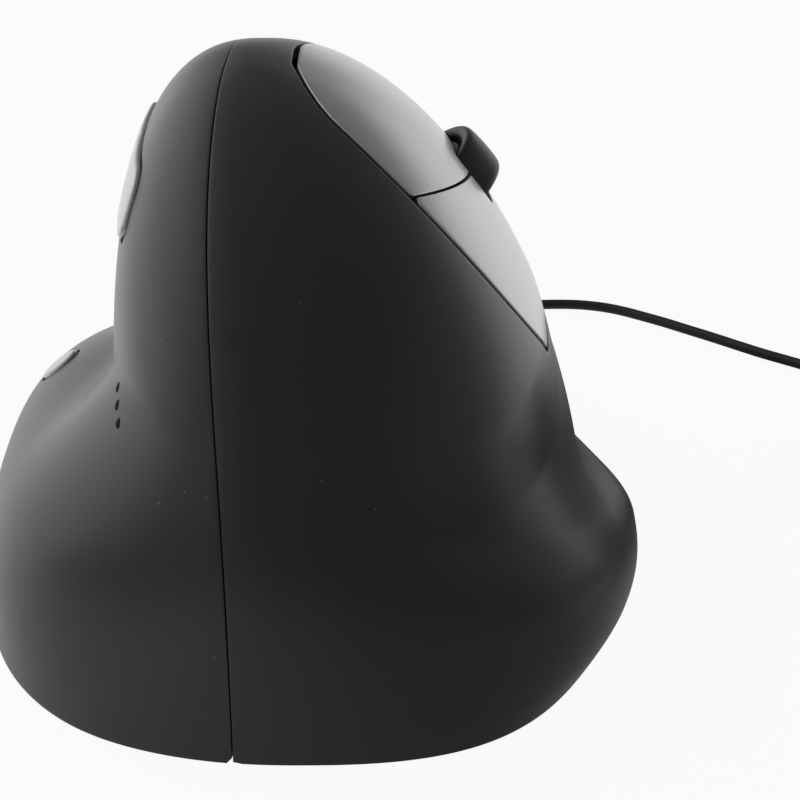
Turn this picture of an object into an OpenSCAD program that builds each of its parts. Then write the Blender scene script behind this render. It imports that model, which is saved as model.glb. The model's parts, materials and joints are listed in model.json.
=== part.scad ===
// Upright computer mouse for the right hand, in millimetres, standing on its feet at z = 0.
// The palm end is towards -Y, the nose towards +Y, the thumb rest towards -X.
// Two moulded shells meet on a line over the ridge and are screwed to a base plate.
// Two hinged buttons cover the right slope, with a scroll wheel between them.

/* [Body] */
// Width across the thumb rest and the little-finger lip
body_w = 90.4; // [86:0.2:96]
// Length from the palm end to the nose
body_l = 110; // [106:0.5:116]
// Height of the ridge above the desk
body_h = 72; // [70:0.5:76]
// Distance of the upright thumb wall from the middle
upright_l = 26.3; // [25:0.1:28]
// Distance of the foot of the right slope from the middle
upright_r = 39.3; // [38:0.1:41]
// Distance of the upright nose from the middle
upright_f = 50; // [49:0.1:52]
// Wall of both shells
wall = 2; // [1.6:0.1:2.2]
// Open line where the two shells meet
seam = 0.3; // [0.2:0.05:0.5]

/* [Finger buttons] */
// Open line around the two buttons
panel_gap = 0.8; // [0.7:0.05:1]
// Wall of the buttons
panel_t = 1.8; // [1.5:0.1:2]
// Tilt of the button mechanism away from level
panel_tilt = 50; // [49:0.5:51]
// Diameter of the hinge rod
rod_d = 2; // [1.6:0.1:2.2]
// Pressing stroke at the finger switches
click = 0.28; // [0.2:0.02:0.3]

/* [Wheel] */
// Diameter over the tyre
wheel_d = 20; // [19:0.2:20.4]
// Width of the tyre
wheel_w = 7; // [6:0.2:7.4]
// How far the tyre stands out of the slope
wheel_out = 3.3; // [2.8:0.1:3.6]
// Diameter of the axle
axle_d = 2.4; // [2:0.1:2.6]
// Stroke of the wheel, thumb and speed switches
wheel_click = 0.4; // [0.3:0.05:0.5]

/* [Thumb side] */
// How far the two thumb buttons stand out
thumb_out = 0.9; // [0.6:0.1:1.2]
// Open line around the thumb buttons
thumb_gap = 0.5; // [0.45:0.05:0.7]
// Diameter of the speed button
speed_d = 5; // [4:0.2:5.4]
// Diameter of each indicator window
window_d = 1; // [0.8:0.1:1.2]

/* [Base] */
// Thickness of the glide feet
foot_t = 0.8; // [0.6:0.1:0.9]
// Thickness of the base plate
base_t = 2; // [1.8:0.1:2.4]
// Shank of the five case screws
case_screw_d = 2.2; // [2:0.1:2.4]
// Shank of the small screws
small_screw_d = 1.8; // [1.6:0.1:1.9]
// Thickness of the circuit boards
board_t = 1.4; // [1:0.1:1.5]

/* [Cord] */
// Diameter of the cord
cord_d = 1.7; // [1.5:0.05:1.75]
// Length of the strain relief outside the shell
boot_l = 9; // [8:0.5:10]

/* [Hidden] */
$fn = 48;

half_w = body_w/2;
half_l = body_l/2;
apex_x = -7.2;
apex_y = 2;
lip_extra = 0.2;
rim_z = foot_t + 0.2;
rim_gap = 0.3;
base_top = foot_t + base_t;
board_z = base_top + 2.2;
board_top = board_z + board_t;
rear_seam = -99;
front_seam = 102;
apex = [apex_x, apex_y, body_h];

// The skin of the body as a function of the angle in plan and the height

// Height of the flared foot: thumb rest on the left, palm end, low lip on the right
flare_height = [[0, 10], [40, 6], [95, 16], [150, 30], [200, 33], [250, 42], [300, 26]];
// Where the flare has a soft root, 1, and where it is a lip with an undercut, 0
flare_soft = [[0, 0], [60, 0], [110, 1], [235, 1], [280, 0.8], [315, 0]];

function lerp(a, b, t) = a + (b - a)*t;
function turn(a) = a - 360*floor(a/360);
function eased(a, knots) =
    let (x = turn(a), n = len(knots), k = max([for (i = [0:n - 1]) if (knots[i][0] <= x) i]))
    let (p = knots[k], q = k + 1 < n ? knots[k + 1] : [360 + knots[0][0], knots[0][1]])
    lerp(p[1], q[1], (1 - cos(180*(x - p[0])/(q[0] - p[0])))/2);
function reach(z, foot, top, p, q) = top + (foot - top)*pow(max(0, 1 - pow(z/body_h, p)), 1/q);
function oval(a, ax, ay) = pow(pow(abs(cos(a))/ax, 2.5) + pow(abs(sin(a))/ay, 2.5), -0.4);
function lip(t) = t < 0.5 ? 1 - 3*pow(0.5 - t, 2) : pow(1 - pow(2*t - 1, 2.2), 1.15);
function flare(a, t) = lerp(lip(t), pow(1 - pow(t, 4), 1.4), eased(a, flare_soft));
function middle(z) = [apex_x*z/body_h, apex_y*z/body_h];
function plan_r(a, z) =
    let (c = middle(z), right = cos(a) >= 0, front = sin(a) >= 0)
    let (ex = right ? reach(z, upright_r, apex_x, 1.85, 1.75) - c[0]
                    : c[0] - reach(z, -upright_l, apex_x, 6.2, 2))
    let (ey = front ? reach(z, upright_f, apex_y, 4, 2) - c[1]
                    : c[1] - reach(z, -half_l, apex_y, 3, 1.7))
    let (wide = oval(a, right ? half_w + lip_extra : half_w, half_l))
    let (foot = wide - oval(a, right ? upright_r : upright_l, front ? upright_f : half_l))
    oval(a, max(ex, 0.001), max(ey, 0.001)) + foot*flare(a, min(1, z/eased(a, flare_height)));
function skin(a, z) = let (c = middle(z), r = plan_r(a, z)) [c[0] + r*cos(a), c[1] + r*sin(a), z];
function unit(v) = v/norm(v);
function out(a, z) =
    let (low = max(0, z - 0.05), high = min(body_h - 0.001, z + 0.05))
    unit(cross(skin(a + 0.5, z) - skin(a - 0.5, z), skin(a, high) - skin(a, low)));
function level_out(a, z) = let (n = out(a, z)) unit([n[0], n[1], 0]);
function inside(p) = let (c = middle(p[2]), d = [p[0] - c[0], p[1] - c[1]])
    p[2] > 0 && p[2] < body_h && norm(d) < plan_r(atan2(d[1], d[0]), p[2]);
function arc_deg(length, a, z) = min(25, length/plan_r(a, z)*180/PI);

// The right slope: u runs from the palm end to the nose, v from the lower edge to the ridge

panel_front = 72;
split_v = 0.66;
panel_low = 0.472*body_h;
panel_split = 0.819*body_h;
panel_top = 0.98*body_h;
function panel_rear(v) = -16 - 62*v + 24*v*v;
function low_z(u) = panel_low - 4*u;
function split_z(u) = panel_split - 10*u;
wheel_a = 9.7;
wheel_z = 0.7417*body_h;
hub = skin(wheel_a, wheel_z);
tilt_c = cos(panel_tilt);
tilt_s = sin(panel_tilt);
function slope(x, y, z) = hub + [x*tilt_c + z*tilt_s, y, z*tilt_c - x*tilt_s];
function slope_xz(x, z) = let (p = slope(x, 0, z)) [p[0], p[2]];
function skin_over(x, y, low = -24, high = 8, n = 16) =
    let (m = (low + high)/2)
    n == 0 ? m : inside(slope(x, y, m)) ? skin_over(x, y, m, high, n - 1) : skin_over(x, y, low, m, n - 1);
function skin_top(x, y, low = 6, high = body_h, n = 16) =
    let (m = (low + high)/2)
    n == 0 ? m : inside([x, y, m]) ? skin_top(x, y, m, high, n - 1) : skin_top(x, y, low, m, n - 1);

// Sizes of the mechanism under the slope, from the skin at the wheel

wheel_r = wheel_d/2;
wheel_at = [2, 14];
axle_z = skin_over(wheel_at[0], wheel_at[1]) + wheel_out - wheel_r;
tyre_t = 3;
slot_w = wheel_w + 2.6;
slot_rear = wheel_r - 0.6;
slot_front = wheel_r + 0.8;
switch_board_top = -13.6;
switch_board_low = switch_board_top - board_t;
deck_top = switch_board_low - 1.5;
deck_t = 1.5;
deck_low = deck_top - deck_t;
rod_y = -16;
rod_z = -7;
lug_r = rod_d/2 + 1.6;
lug_w = 3;
lug_first = -0.25*body_h;
lug_step = lug_w + 1.5;
index_lugs = [lug_first, lug_first + 2*lug_step];
middle_lugs = [lug_first + 4*lug_step, 13];
ears = [lug_first + lug_step, lug_first + 3*lug_step, 6.5];
rod_from = lug_first - 2;
rod_to = 15;
switch_size = [5.8, 12.8, 6.5];
switch_at = [[-11, 14], [13, 12.5]];
plunger_y = 2;
plunger_d = 1.6;
plunger_out = click + 0.42;
switch_top = switch_board_top + switch_size[2];
post_r = 1.6;
encoder_y = -8.4;
arm_in = 5;
arm_out = 7;
bar_top = axle_z - wheel_r - 2.2;
bar_t = 2;
stem_l = 1.5;
tact_h = 3.5;
tact_w = 6;
tact_pin_d = 3.2;
tact_pin = wheel_click + 0.6;
tray_x = arm_out + 0.6;
tray_y = 8.6;
tray_wall = 1.5;
tray_floor = bar_top - bar_t - stem_l - tact_pin - tact_h;
tray_low = tray_floor - tray_wall;

// Sizes of the thumb side

thumb_low = 0.743*body_h;
thumb_high = 0.868*body_h;
thumb_front = 134;
thumb_split = 180.5;
thumb_rear = 228;
thumb_y = [10, -7];
thumb_z = 0.799*body_h;
thumb_board_x = -12;
tact_x = thumb_board_x - board_t;
stem_x = tact_x - tact_h - tact_pin;
flange_in = wall + 0.3;
flange_t = 1;
thumb_board_y = -15;
thumb_board_l = 33;
thumb_board_h = 14;
thumb_board_low = thumb_z - 7.5;
thumb_pads = [for (y = [-12.3, 15.2]) [y, thumb_z + 3.5]];
speed_at = [8.2 - half_w, 12];
speed_slit = 0.35;
windows = [[238.5, 0.561], [240.8, 0.547], [243, 0.532]];
window_axis = out(windows[1][0], windows[1][1]*body_h);
window_mid = skin(windows[1][0], windows[1][1]*body_h);
window_depth = 6;

// Sizes of the base

boss_r = 3;
boss_h = 11;
head_r = 2.2;
head_t = 1.1;
screw_l = 8.5;
boss_a = [135, 228, 276, 325, 48];
function boss_wall(k) = min(plan_r(boss_a[k], rim_z), plan_r(boss_a[k], base_top + boss_h)) - 0.9;
function boss_inset(k) = plan_r(boss_a[k], rim_z) - wall - rim_gap - head_r - 1.3;
function boss_reach(k) = min(boss_inset(k), boss_wall(k) - wall - 2);
function boss_at(k) = boss_reach(k)*[cos(boss_a[k]), sin(boss_a[k])];
board_left = 4.2 - half_w;
board_right = 5;
board_rear = -30;
board_front = 28;
board_bevel = [11, 18, 12];
board_posts = [for (x = [board_left + 11, board_right - 4], y = [board_rear + 4, board_front - 4]) [x, y]];
frame_posts = [[12, -18], [21, -18], [11.5, 35], [18.5, 35]];
slope_posts = [[-17, -10], [-17, 21.5], [15, -10], [15, 21.5]];
post_d = 5;
small_head_d = 3.6;
small_head_t = 1.2;
feet = [[-15, -42], [15, -42], [-15, 42], [15, 42]];
foot_l = 10;
foot_w = 6;
sensor = [-8, 0];
frame_foot_t = 2;

// Route of the cord, by hand: out of the nose, down to the desk, right and back past the slope

cord_r = cord_d/2;
exit_x = 6;
exit_z = 7.6;
boot_y = half_l;
collar_r = 4.6;
collar_l = 5.4;
boot_end = boot_y + boot_l;
route = [[exit_x, boot_end, exit_z], [6.3, 67, 6.6], [7.5, 70.5, 5.4], [10, 74, 3.8], [13.8, 77, 2.3],
    [18.5, 79.2, 1.3], [23.5, 80.7, 0.9], [29, 81.7, 0.9], [35, 82.3, 0.9], [41, 82.4, 0.9],
    [45.5, 81.6, 0.9], [49.5, 79.9, 0.9], [53.4, 77.3, 0.9], [57.2, 74.5, 0.9], [61, 71.4, 0.9],
    [64.8, 68.3, 0.9], [68.4, 65.2, 0.9], [72, 62.2, 0.9], [75.6, 59.4, 0.95], [79, 56.4, 1.1]];
coil_mid = [98, 60];
coil_pitch = cord_d + 0.75;
coil_low = cord_r + 0.7;
coil_outer = 16.2;
coil_start = 216.9;
coil_turns = 19.8975;
coil_layers = 4;
spiral = (coil_turns - 0.5*(coil_layers - 1))/coil_layers;
coil_inner = coil_outer - spiral*coil_pitch;
coil_rings = 480;
plug_x = coil_mid[0] - coil_outer;
plug_z = 4;
plug_y = 40;
grip_l = 24;
grip_w = 15;
grip_t = 7.6;
shell_l = 12;
shell_w = 12;
shell_h = 4.5;
tie_a = 330;
tie_w = 2.6;
tie_t = 0.5;
tie_room = 0.15;

black = [0.09, 0.09, 0.1];
silver = [0.68, 0.69, 0.71];
grey = [0.3, 0.3, 0.32];
green = [0.08, 0.3, 0.16];
steel = [0.75, 0.76, 0.78];
white = [0.9, 0.9, 0.88];

// Builders

// A sheet with thickness over a grid of cells, with an outer and an inner surface
module sheet(nu, nv, outer, inner, keep, pole = false) {
    w = nu + 1;
    s = w*(nv + 1);
    points = concat([for (j = [0:nv], i = [0:nu]) outer(i, j)], [for (j = [0:nv], i = [0:nu]) inner(i, j)]);
    at = function (i, j) pole && j == nv ? j*w : j*w + i;
    solid = function (i, j) i >= 0 && i < nu && j >= 0 && j < nv && keep(i, j);
    faces = [for (j = [0:nv - 1], i = [0:nu - 1]) if (keep(i, j)) each
        let (a = at(i, j), b = at(i + 1, j), c = at(i + 1, j + 1), d = at(i, j + 1))
        concat(
            [[a, d, c], [a, c, b], [s + a, s + c, s + d], [s + a, s + b, s + c]],
            solid(i, j - 1) ? [] : [[a, b, s + b], [a, s + b, s + a]],
            solid(i + 1, j) ? [] : [[b, c, s + c], [b, s + c, s + b]],
            solid(i, j + 1) || (pole && j == nv - 1) ? [] : [[c, d, s + d], [c, s + d, s + c]],
            solid(i - 1, j) ? [] : [[d, a, s + a], [d, s + a, s + d]])];
    polyhedron(points, [for (f = faces) if (f[0] != f[1] && f[1] != f[2] && f[2] != f[0]) f]);
}

// A round tube along a list of points, closed at both ends, with given directions at the ends
module tube(path, r, sides, first, last) {
    n = len(path);
    dir = [for (i = [0:n - 1]) i == 0 ? first : i == n - 1 ? last : unit(path[i + 1] - path[i - 1])];
    ring = [for (i = [0:n - 1])
        let (side = unit(cross(dir[i], [0, 0, 1])), up = cross(side, dir[i]))
        each [for (k = [0:sides - 1]) path[i] + r*(cos(360*k/sides)*side + sin(360*k/sides)*up)]];
    walls = [for (i = [0:n - 2], k = [0:sides - 1])
        let (a = i*sides + k, b = i*sides + (k + 1) % sides)
        each [[a, b, b + sides], [a, b + sides, a + sides]]];
    ends = [[for (k = [sides - 1:-1:0]) k], [for (k = [0:sides - 1]) (n - 1)*sides + k]];
    polyhedron(ring, concat(walls, ends));
}

// A smooth line through given points, with m steps between two of them
function smooth(p, m) = let (n = len(p)) concat(
    [for (i = [0:n - 2], k = [0:m - 1])
        let (t = k/m, a = p[max(0, i - 1)], b = p[i], c = p[i + 1], d = p[min(n - 1, i + 2)])
        b + t*(c - a)/2 + t*t*(a - 2.5*b + 2*c - d/2) + t*t*t*(1.5*b - a/2 - 1.5*c + d/2)],
    [p[n - 1]]);

// A bent flat strip, given by its middle line in the XZ plane
module strip(line, t, y, w) {
    n = len(line);
    dir = [for (i = [0:n - 1]) unit(line[min(n - 1, i + 1)] - line[max(0, i - 1)])];
    side = [for (d = dir) [-d[1], d[0]]*t/2];
    translate([0, y + w, 0]) rotate([90, 0, 0]) linear_extrude(w)
        polygon(concat([for (i = [0:n - 1]) line[i] + side[i]], [for (i = [n - 1:-1:0]) line[i] - side[i]]));
}

module on_slope() {
    translate(hub) rotate([0, panel_tilt, 0]) children();
}

module at_wheel() {
    on_slope() translate([wheel_at[0], wheel_at[1], 0]) children();
}

// Turns the drawing so that its z axis points along n
module facing(n) {
    rotate([0, acos(n[2]), atan2(n[1], n[0])]) children();
}

module small_screw(length) {
    difference() {
        union() {
            cylinder(d = small_head_d, h = small_head_t);
            translate([0, 0, -length]) cylinder(d = small_screw_d, h = length);
        }
        for (a = [0, 90]) rotate(a)
            translate([-1.1, -0.25, small_head_t - 0.6]) cube([2.2, 0.5, 1]);
    }
}

module tact_body() {
    difference() {
        translate([-tact_w/2, -tact_w/2, 0]) cube([tact_w, tact_w, tact_h]);
        translate([0, 0, tact_h - 1.5]) cylinder(d = tact_pin_d + 0.1, h = 2);
    }
}

module tact_plunger() {
    translate([0, 0, tact_h - 0.8]) cylinder(d = tact_pin_d, h = tact_pin + 0.8);
}

// Case

module base_outline() {
    polygon([for (a = [0:6:354])
        let (p = skin(a, rim_z) - (wall + rim_gap)*level_out(a, rim_z)) [p[0], p[1]]]);
}

module base_plate() {
    color(black) difference() {
        union() {
            translate([0, 0, foot_t]) linear_extrude(base_t) base_outline();
            for (p = concat(board_posts, frame_posts))
                translate([p[0], p[1], base_top - 0.5]) cylinder(d = post_d, h = board_z - base_top + 0.5);
        }
        for (k = [0:len(boss_a) - 1]) translate([boss_at(k)[0], boss_at(k)[1], 0]) {
            cylinder(d = case_screw_d + 0.4, h = base_top + 1);
            cylinder(r = head_r + 0.3, h = foot_t + head_t + 0.1);
        }
        for (p = concat(board_posts, frame_posts))
            translate([p[0], p[1], foot_t + 0.8]) cylinder(d = small_screw_d + 0.1, h = board_z);
        translate([sensor[0] - 6, sensor[1] - 4, 0]) cube([12, 8, base_top + 1]);
    }
}

module glide_feet() {
    color(white) for (p = feet) translate([p[0], p[1], 0]) linear_extrude(foot_t) {
        square([foot_l, foot_w], center = true);
        for (e = [-1, 1]) translate([e*foot_l/2, 0]) circle(d = foot_w);
    }
}

module base_screws() {
    color(steel) for (k = [0:len(boss_a) - 1])
        translate([boss_at(k)[0], boss_at(k)[1], foot_t + 0.1]) difference() {
            union() {
                cylinder(r = head_r, h = head_t);
                cylinder(d = case_screw_d, h = head_t + screw_l);
            }
            for (a = [0, 90]) rotate(a) translate([-1.4, -0.3, -0.4]) cube([2.8, 0.6, 1]);
        }
}

module boss(k) {
    translate([0, 0, base_top]) rotate(boss_a[k]) linear_extrude(boss_h) {
        translate([boss_reach(k), 0]) circle(r = boss_r);
        translate([boss_reach(k), -1]) square([boss_wall(k) - boss_reach(k), 2]);
    }
}

module boss_bore(k) {
    translate([boss_at(k)[0], boss_at(k)[1], base_top - 1]) cylinder(d = case_screw_d + 0.1, h = screw_l + 1);
}

thumb_knee = [0, 0.2, 0.4, 0.56, 0.68, 0.78, 0.86, 0.93, 1];

module thumb_shell() {
    angle = function (i, j) let (z = thumb_nominal(j))
        i <= 7 ? lerp(front_seam + arc_deg(seam, front_seam, z), thumb_front, i/7)
        : i <= 17 ? lerp(thumb_front, thumb_rear, (i - 7)/10)
        : lerp(thumb_rear, 360 + rear_seam - arc_deg(seam, rear_seam, z), (i - 17)/4);
    height = function (a, j) j <= 8 ? lerp(rim_z, eased(a, flare_height), thumb_knee[j])
        : j <= 11 ? lerp(eased(a, flare_height), thumb_low, (j - 8)/3) : thumb_nominal(j);
    outer = function (i, j) let (a = angle(i, j)) skin(a, height(a, j));
    inner = function (i, j) let (a = angle(i, j), z = height(a, j))
        skin(a, z) - wall*(j == 0 ? level_out(a, z) : out(a, z));
    color(black) difference() {
        union() {
            sheet(21, 20, outer, inner, function (i, j) !(i >= 7 && i < 17 && j >= 11 && j < 14));
            boss(0);
            boss(1);
        }
        boss_bore(0);
        boss_bore(1);
        translate([speed_at[0], speed_at[1], board_top + 6]) cylinder(d = speed_d + 2*speed_slit, h = 30);
        for (w = windows) translate(skin(w[0], w[1]*body_h)) facing(window_axis)
            translate([0, 0, -wall - 3]) cylinder(d = window_d + 0.1, h = wall + 6);
    }
}

function thumb_nominal(j) = j <= 11 ? thumb_low*j/11
    : j <= 14 ? lerp(thumb_low, thumb_high, (j - 11)/3)
    : lerp(thumb_high, body_h - 0.004, 1 - pow(1 - (j - 14)/6, 2));

palm_knee = [0, 0.25, 0.5, 0.7, 0.87, 1];
function palm_v(j) = j <= 9 ? 0 : j <= 14 ? split_v*(j - 9)/5 : j <= 20 ? lerp(split_v, 1, (j - 14)/6) : 1;
function palm_u(i) = i <= 10 ? 0 : i <= 26 ? (i - 10)/16 : 1;
function palm_a(i, j) = let (rear = panel_rear(palm_v(j)))
    i <= 10 ? lerp(rear_seam, rear, i/10) : i <= 26 ? lerp(rear, panel_front, (i - 10)/16)
    : lerp(panel_front, front_seam, (i - 26)/5);
function palm_z(i, j) = let (u = palm_u(i), knee = min(eased(palm_a(i, j), flare_height), 0.75*panel_low))
    j <= 5 ? lerp(rim_z, knee, palm_knee[j]) : j <= 9 ? lerp(knee, low_z(u), (j - 5)/4)
    : j <= 14 ? lerp(low_z(u), split_z(u), (j - 9)/5)
    : j <= 20 ? lerp(split_z(u), panel_top, 1 - pow(1 - (j - 14)/6, 1.4))
    : lerp(panel_top, body_h, 1 - pow(1 - (j - 20)/4, 2));

module palm_shell() {
    outer = function (i, j) j == 24 ? apex : skin(palm_a(i, j), palm_z(i, j));
    inner = function (i, j) let (a = palm_a(i, j), z = palm_z(i, j))
        j == 24 ? apex - [0, 0, wall] : skin(a, z) - wall*(j == 0 ? level_out(a, z) : out(a, z));
    color(black) difference() {
        union() {
            sheet(31, 24, outer, inner, function (i, j) !(i >= 10 && i < 26 && j >= 9 && j < 20), true);
            for (k = [2, 3, 4]) boss(k);
            translate([exit_x, boot_y, exit_z]) rotate([90, 0, 0]) cylinder(r = collar_r, h = collar_l);
        }
        for (k = [2, 3, 4]) boss_bore(k);
        translate([exit_x, boot_y + 1, exit_z]) rotate([90, 0, 0]) cylinder(r = 2.7, h = collar_l + 2);
    }
}

// Finger buttons

// A patch of the slope between two rows of v, drawn back by the gap on all sides
module slope_patch(nv, height) {
    cell = function (i, j) let (v = lerp(0, 1, height(0, j)[0]), z = height(i/16, j)[1])
        let (rear = panel_rear(v), a0 = rear + arc_deg(panel_gap, rear, z))
        let (a1 = panel_front - arc_deg(panel_gap, panel_front, z)) [lerp(a0, a1, i/16), z];
    outer = function (i, j) let (c = cell(i, j)) skin(c[0], c[1]);
    inner = function (i, j) let (c = cell(i, j)) skin(c[0], c[1]) - panel_t*out(c[0], c[1]);
    sheet(16, nv, outer, inner, function (i, j) true);
}

module wheel_slot() {
    at_wheel() translate([-slot_w/2, -slot_rear, -20]) cube([slot_w, slot_rear + slot_front, 40]);
}

// A hinge lug or a switch post, from under the skin down to a given depth
module hanger(x, y, wx, wy, low) {
    translate([x - wx/2, y - wy/2, low]) cube([wx, wy, skin_over(x, y) - 1 - low]);
}

module lug(x) {
    translate([x - lug_w/2, rod_y, rod_z]) rotate([0, 90, 0]) cylinder(r = lug_r, h = lug_w);
    hanger(x, rod_y, lug_w, 2.4, rod_z);
}

module lug_bore(x) {
    translate([x - lug_w, rod_y, rod_z]) rotate([0, 90, 0]) cylinder(d = rod_d + 0.1, h = 2*lug_w);
}

module push_post(at) {
    low = switch_top + plunger_out;
    high = skin_over(at[0], at[1] + plunger_y) - 1;
    translate([at[0], at[1] + plunger_y, low]) cylinder(r = post_r, h = high - low);
}

module button_parts(lugs, at) {
    difference() {
        union() {
            children();
            on_slope() {
                for (x = lugs) lug(x);
                push_post(at);
            }
        }
        on_slope() for (x = lugs) lug_bore(x);
        wheel_slot();
    }
}

module index_button() {
    color(silver) button_parts(index_lugs, switch_at[0]) slope_patch(6, function (u, j)
        let (t = 1 - pow(1 - j/6, 1.4))
        [lerp(split_v, 1, j/6), lerp(split_z(u) + 0.3*panel_gap, panel_top - 0.4*panel_gap, t)]);
}

module middle_button() {
    color(silver) button_parts(middle_lugs, switch_at[1]) slope_patch(6, function (u, j)
        [split_v*j/6, lerp(low_z(u) + panel_gap, split_z(u) - 0.3*panel_gap, j/6)]);
}

module hinge_rod() {
    color(steel) on_slope() translate([rod_from, rod_y, rod_z]) rotate([0, 90, 0])
        cylinder(d = rod_d, h = rod_to - rod_from);
}

// Frame under the slope

frame_rear = rod_y - 4;
frame_front = 26;
frame_wall = 2;
deck_from = -21;
deck_to = 19;
tab_from = -26;
tab_front = 14;
back_x = -10;
back_t = 2;
back_low = thumb_z - 11.5;
web_low = hub[2] - 31.4;
leg_in = 8;
leg_out = 25;
leg_out_front = 22;

module side_wall(y, line) {
    translate([0, y + frame_wall, 0]) rotate([90, 0, 0]) linear_extrude(frame_wall) polygon(line);
}

module frame_foot(from, size) {
    translate([leg_in, from, board_z]) cube([size[0], size[1], frame_foot_t]);
}

module button_frame() {
    mid = (deck_top + deck_low)/2;
    top_in = slope_xz(deck_from, mid);
    top_tab = slope_xz(tab_from, mid);
    low_in = slope_xz(deck_to, mid);
    color(grey) difference() {
        union() {
            on_slope() {
                translate([deck_from, frame_rear, deck_low])
                    cube([deck_to - deck_from, frame_front - frame_rear, deck_t]);
                translate([tab_from, frame_rear, deck_low])
                    cube([deck_from - tab_from + 1, tab_front - frame_rear, deck_t]);
                for (x = ears) {
                    translate([x - lug_w/2, rod_y, rod_z]) rotate([0, 90, 0]) cylinder(r = lug_r, h = lug_w);
                    translate([x - lug_w/2, rod_y - lug_r, deck_low + 0.5])
                        cube([lug_w, 2*lug_r, rod_z - deck_low - 0.5]);
                }
                for (p = slope_posts) translate([p[0], p[1], deck_low + 0.5])
                    cylinder(d = post_d, h = switch_board_low - deck_low - 0.5);
            }
            at_wheel() translate([-tray_x - tray_wall, -tray_y - tray_wall, tray_low])
                cube([2*(tray_x + tray_wall), 2*(tray_y + tray_wall), deck_low - tray_low + 0.5]);
            side_wall(hub[1] + frame_rear, [low_in, top_in, top_tab, [back_x, top_tab[1]], [back_x, back_low],
                [leg_in, web_low], [leg_in, board_z], [leg_out, board_z], [leg_out, 20]]);
            side_wall(hub[1] + frame_front - frame_wall, [low_in, top_in, top_in - [0, 8],
                [leg_in, web_low], [leg_in, board_z], [leg_out_front, board_z], [leg_out_front, 20]]);
            translate([back_x, hub[1] + frame_rear, back_low])
                cube([back_t, tab_front - frame_rear, top_tab[1] - back_low + 1]);
            for (p = thumb_pads) translate([thumb_board_x, p[0], p[1]]) rotate([0, 90, 0])
                cylinder(d = post_d, h = back_x - thumb_board_x + 1);
            frame_foot(hub[1] + frame_rear - 8, [leg_out - leg_in, 9]);
            frame_foot(hub[1] + frame_front - 1, [leg_out_front - leg_in, 7]);
        }
        at_wheel() translate([-tray_x, -tray_y, tray_floor]) cube([2*tray_x, 2*tray_y, 40]);
        on_slope() {
            for (x = ears) translate([x - lug_w, rod_y, rod_z]) rotate([0, 90, 0])
                cylinder(d = rod_d, h = 2*lug_w);
            for (p = slope_posts) translate([p[0], p[1], deck_low - 1])
                cylinder(d = small_screw_d + 0.1, h = 10);
        }
        for (p = thumb_pads) translate([thumb_board_x - 1, p[0], p[1]]) rotate([0, 90, 0])
            cylinder(d = small_screw_d + 0.1, h = 6);
        for (p = frame_posts) translate([p[0], p[1], 0]) cylinder(d = small_screw_d + 0.3, h = 12);
    }
}

module frame_screws() {
    color(steel) for (p = frame_posts) translate([p[0], p[1], board_z + frame_foot_t]) small_screw(4.4);
}

module button_board() {
    color(green) on_slope() difference() {
        translate([-20, -13, switch_board_low]) cube([38, 37.5, board_t]);
        translate([wheel_at[0] - slot_w/2, wheel_at[1] - slot_rear, switch_board_low - 1])
            cube([slot_w, 2*wheel_d, board_t + 2]);
        translate([wheel_at[0] - tray_x, wheel_at[1] - 4.8, switch_board_low - 1])
            cube([2*tray_x, 9.6, board_t + 2]);
        for (p = slope_posts) translate([p[0], p[1], switch_board_low - 1])
            cylinder(d = small_screw_d + 0.3, h = board_t + 2);
    }
}

module button_switches() {
    color(black) on_slope() for (p = switch_at) difference() {
        translate([p[0] - switch_size[0]/2, p[1] - switch_size[1]/2, switch_board_top]) cube(switch_size);
        translate([p[0], p[1] + plunger_y, switch_top - 2.5]) cylinder(d = plunger_d + 0.1, h = 4);
    }
}

module switch_plunger(p) {
    color(white) on_slope() translate([p[0], p[1] + plunger_y, switch_top - 1.6])
        cylinder(d = plunger_d, h = 1.6 + plunger_out);
}

module index_plunger() {
    switch_plunger(switch_at[0]);
}

module middle_plunger() {
    switch_plunger(switch_at[1]);
}

// Wheel

module on_axle() {
    at_wheel() translate([0, 0, axle_z]) rotate([0, 90, 0]) children();
}

module wheel_tyre() {
    h = wheel_w/2;
    r = wheel_r;
    color(black) on_axle() rotate_extrude(convexity = 4)
        polygon([[r - tyre_t, -h + 0.8], [r - 1.4, -h], [r - 0.5, -h + 0.9], [r, -h + 2.2],
            [r, h - 2.2], [r - 0.5, h - 0.9], [r - 1.4, h], [r - tyre_t, h - 0.8]]);
}

module wheel_hub() {
    rim = wheel_r - tyre_t;
    color(grey) on_axle() difference() {
        union() {
            translate([0, 0, 0.8 - wheel_w/2]) cylinder(r = rim, h = wheel_w - 1.6);
            translate([0, 0, -arm_in + 0.2]) cylinder(d = axle_d + 1.6, h = 2*arm_in - 0.4);
            translate([0, 0, -arm_out]) cylinder(d = axle_d, h = 2*arm_out);
        }
        for (e = [-1, 1]) translate([0, 0, e*wheel_w/2]) rotate_extrude(convexity = 4)
            translate([axle_d/2 + 0.8, -wheel_w/2 + 1]) square([rim - 0.8 - axle_d/2 - 0.8, wheel_w - 2]);
        for (k = [0:15]) rotate(22.5*k) translate([rim - 3.6, -0.6, -2]) cube([2.4, 1.2, 4]);
    }
}

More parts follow.
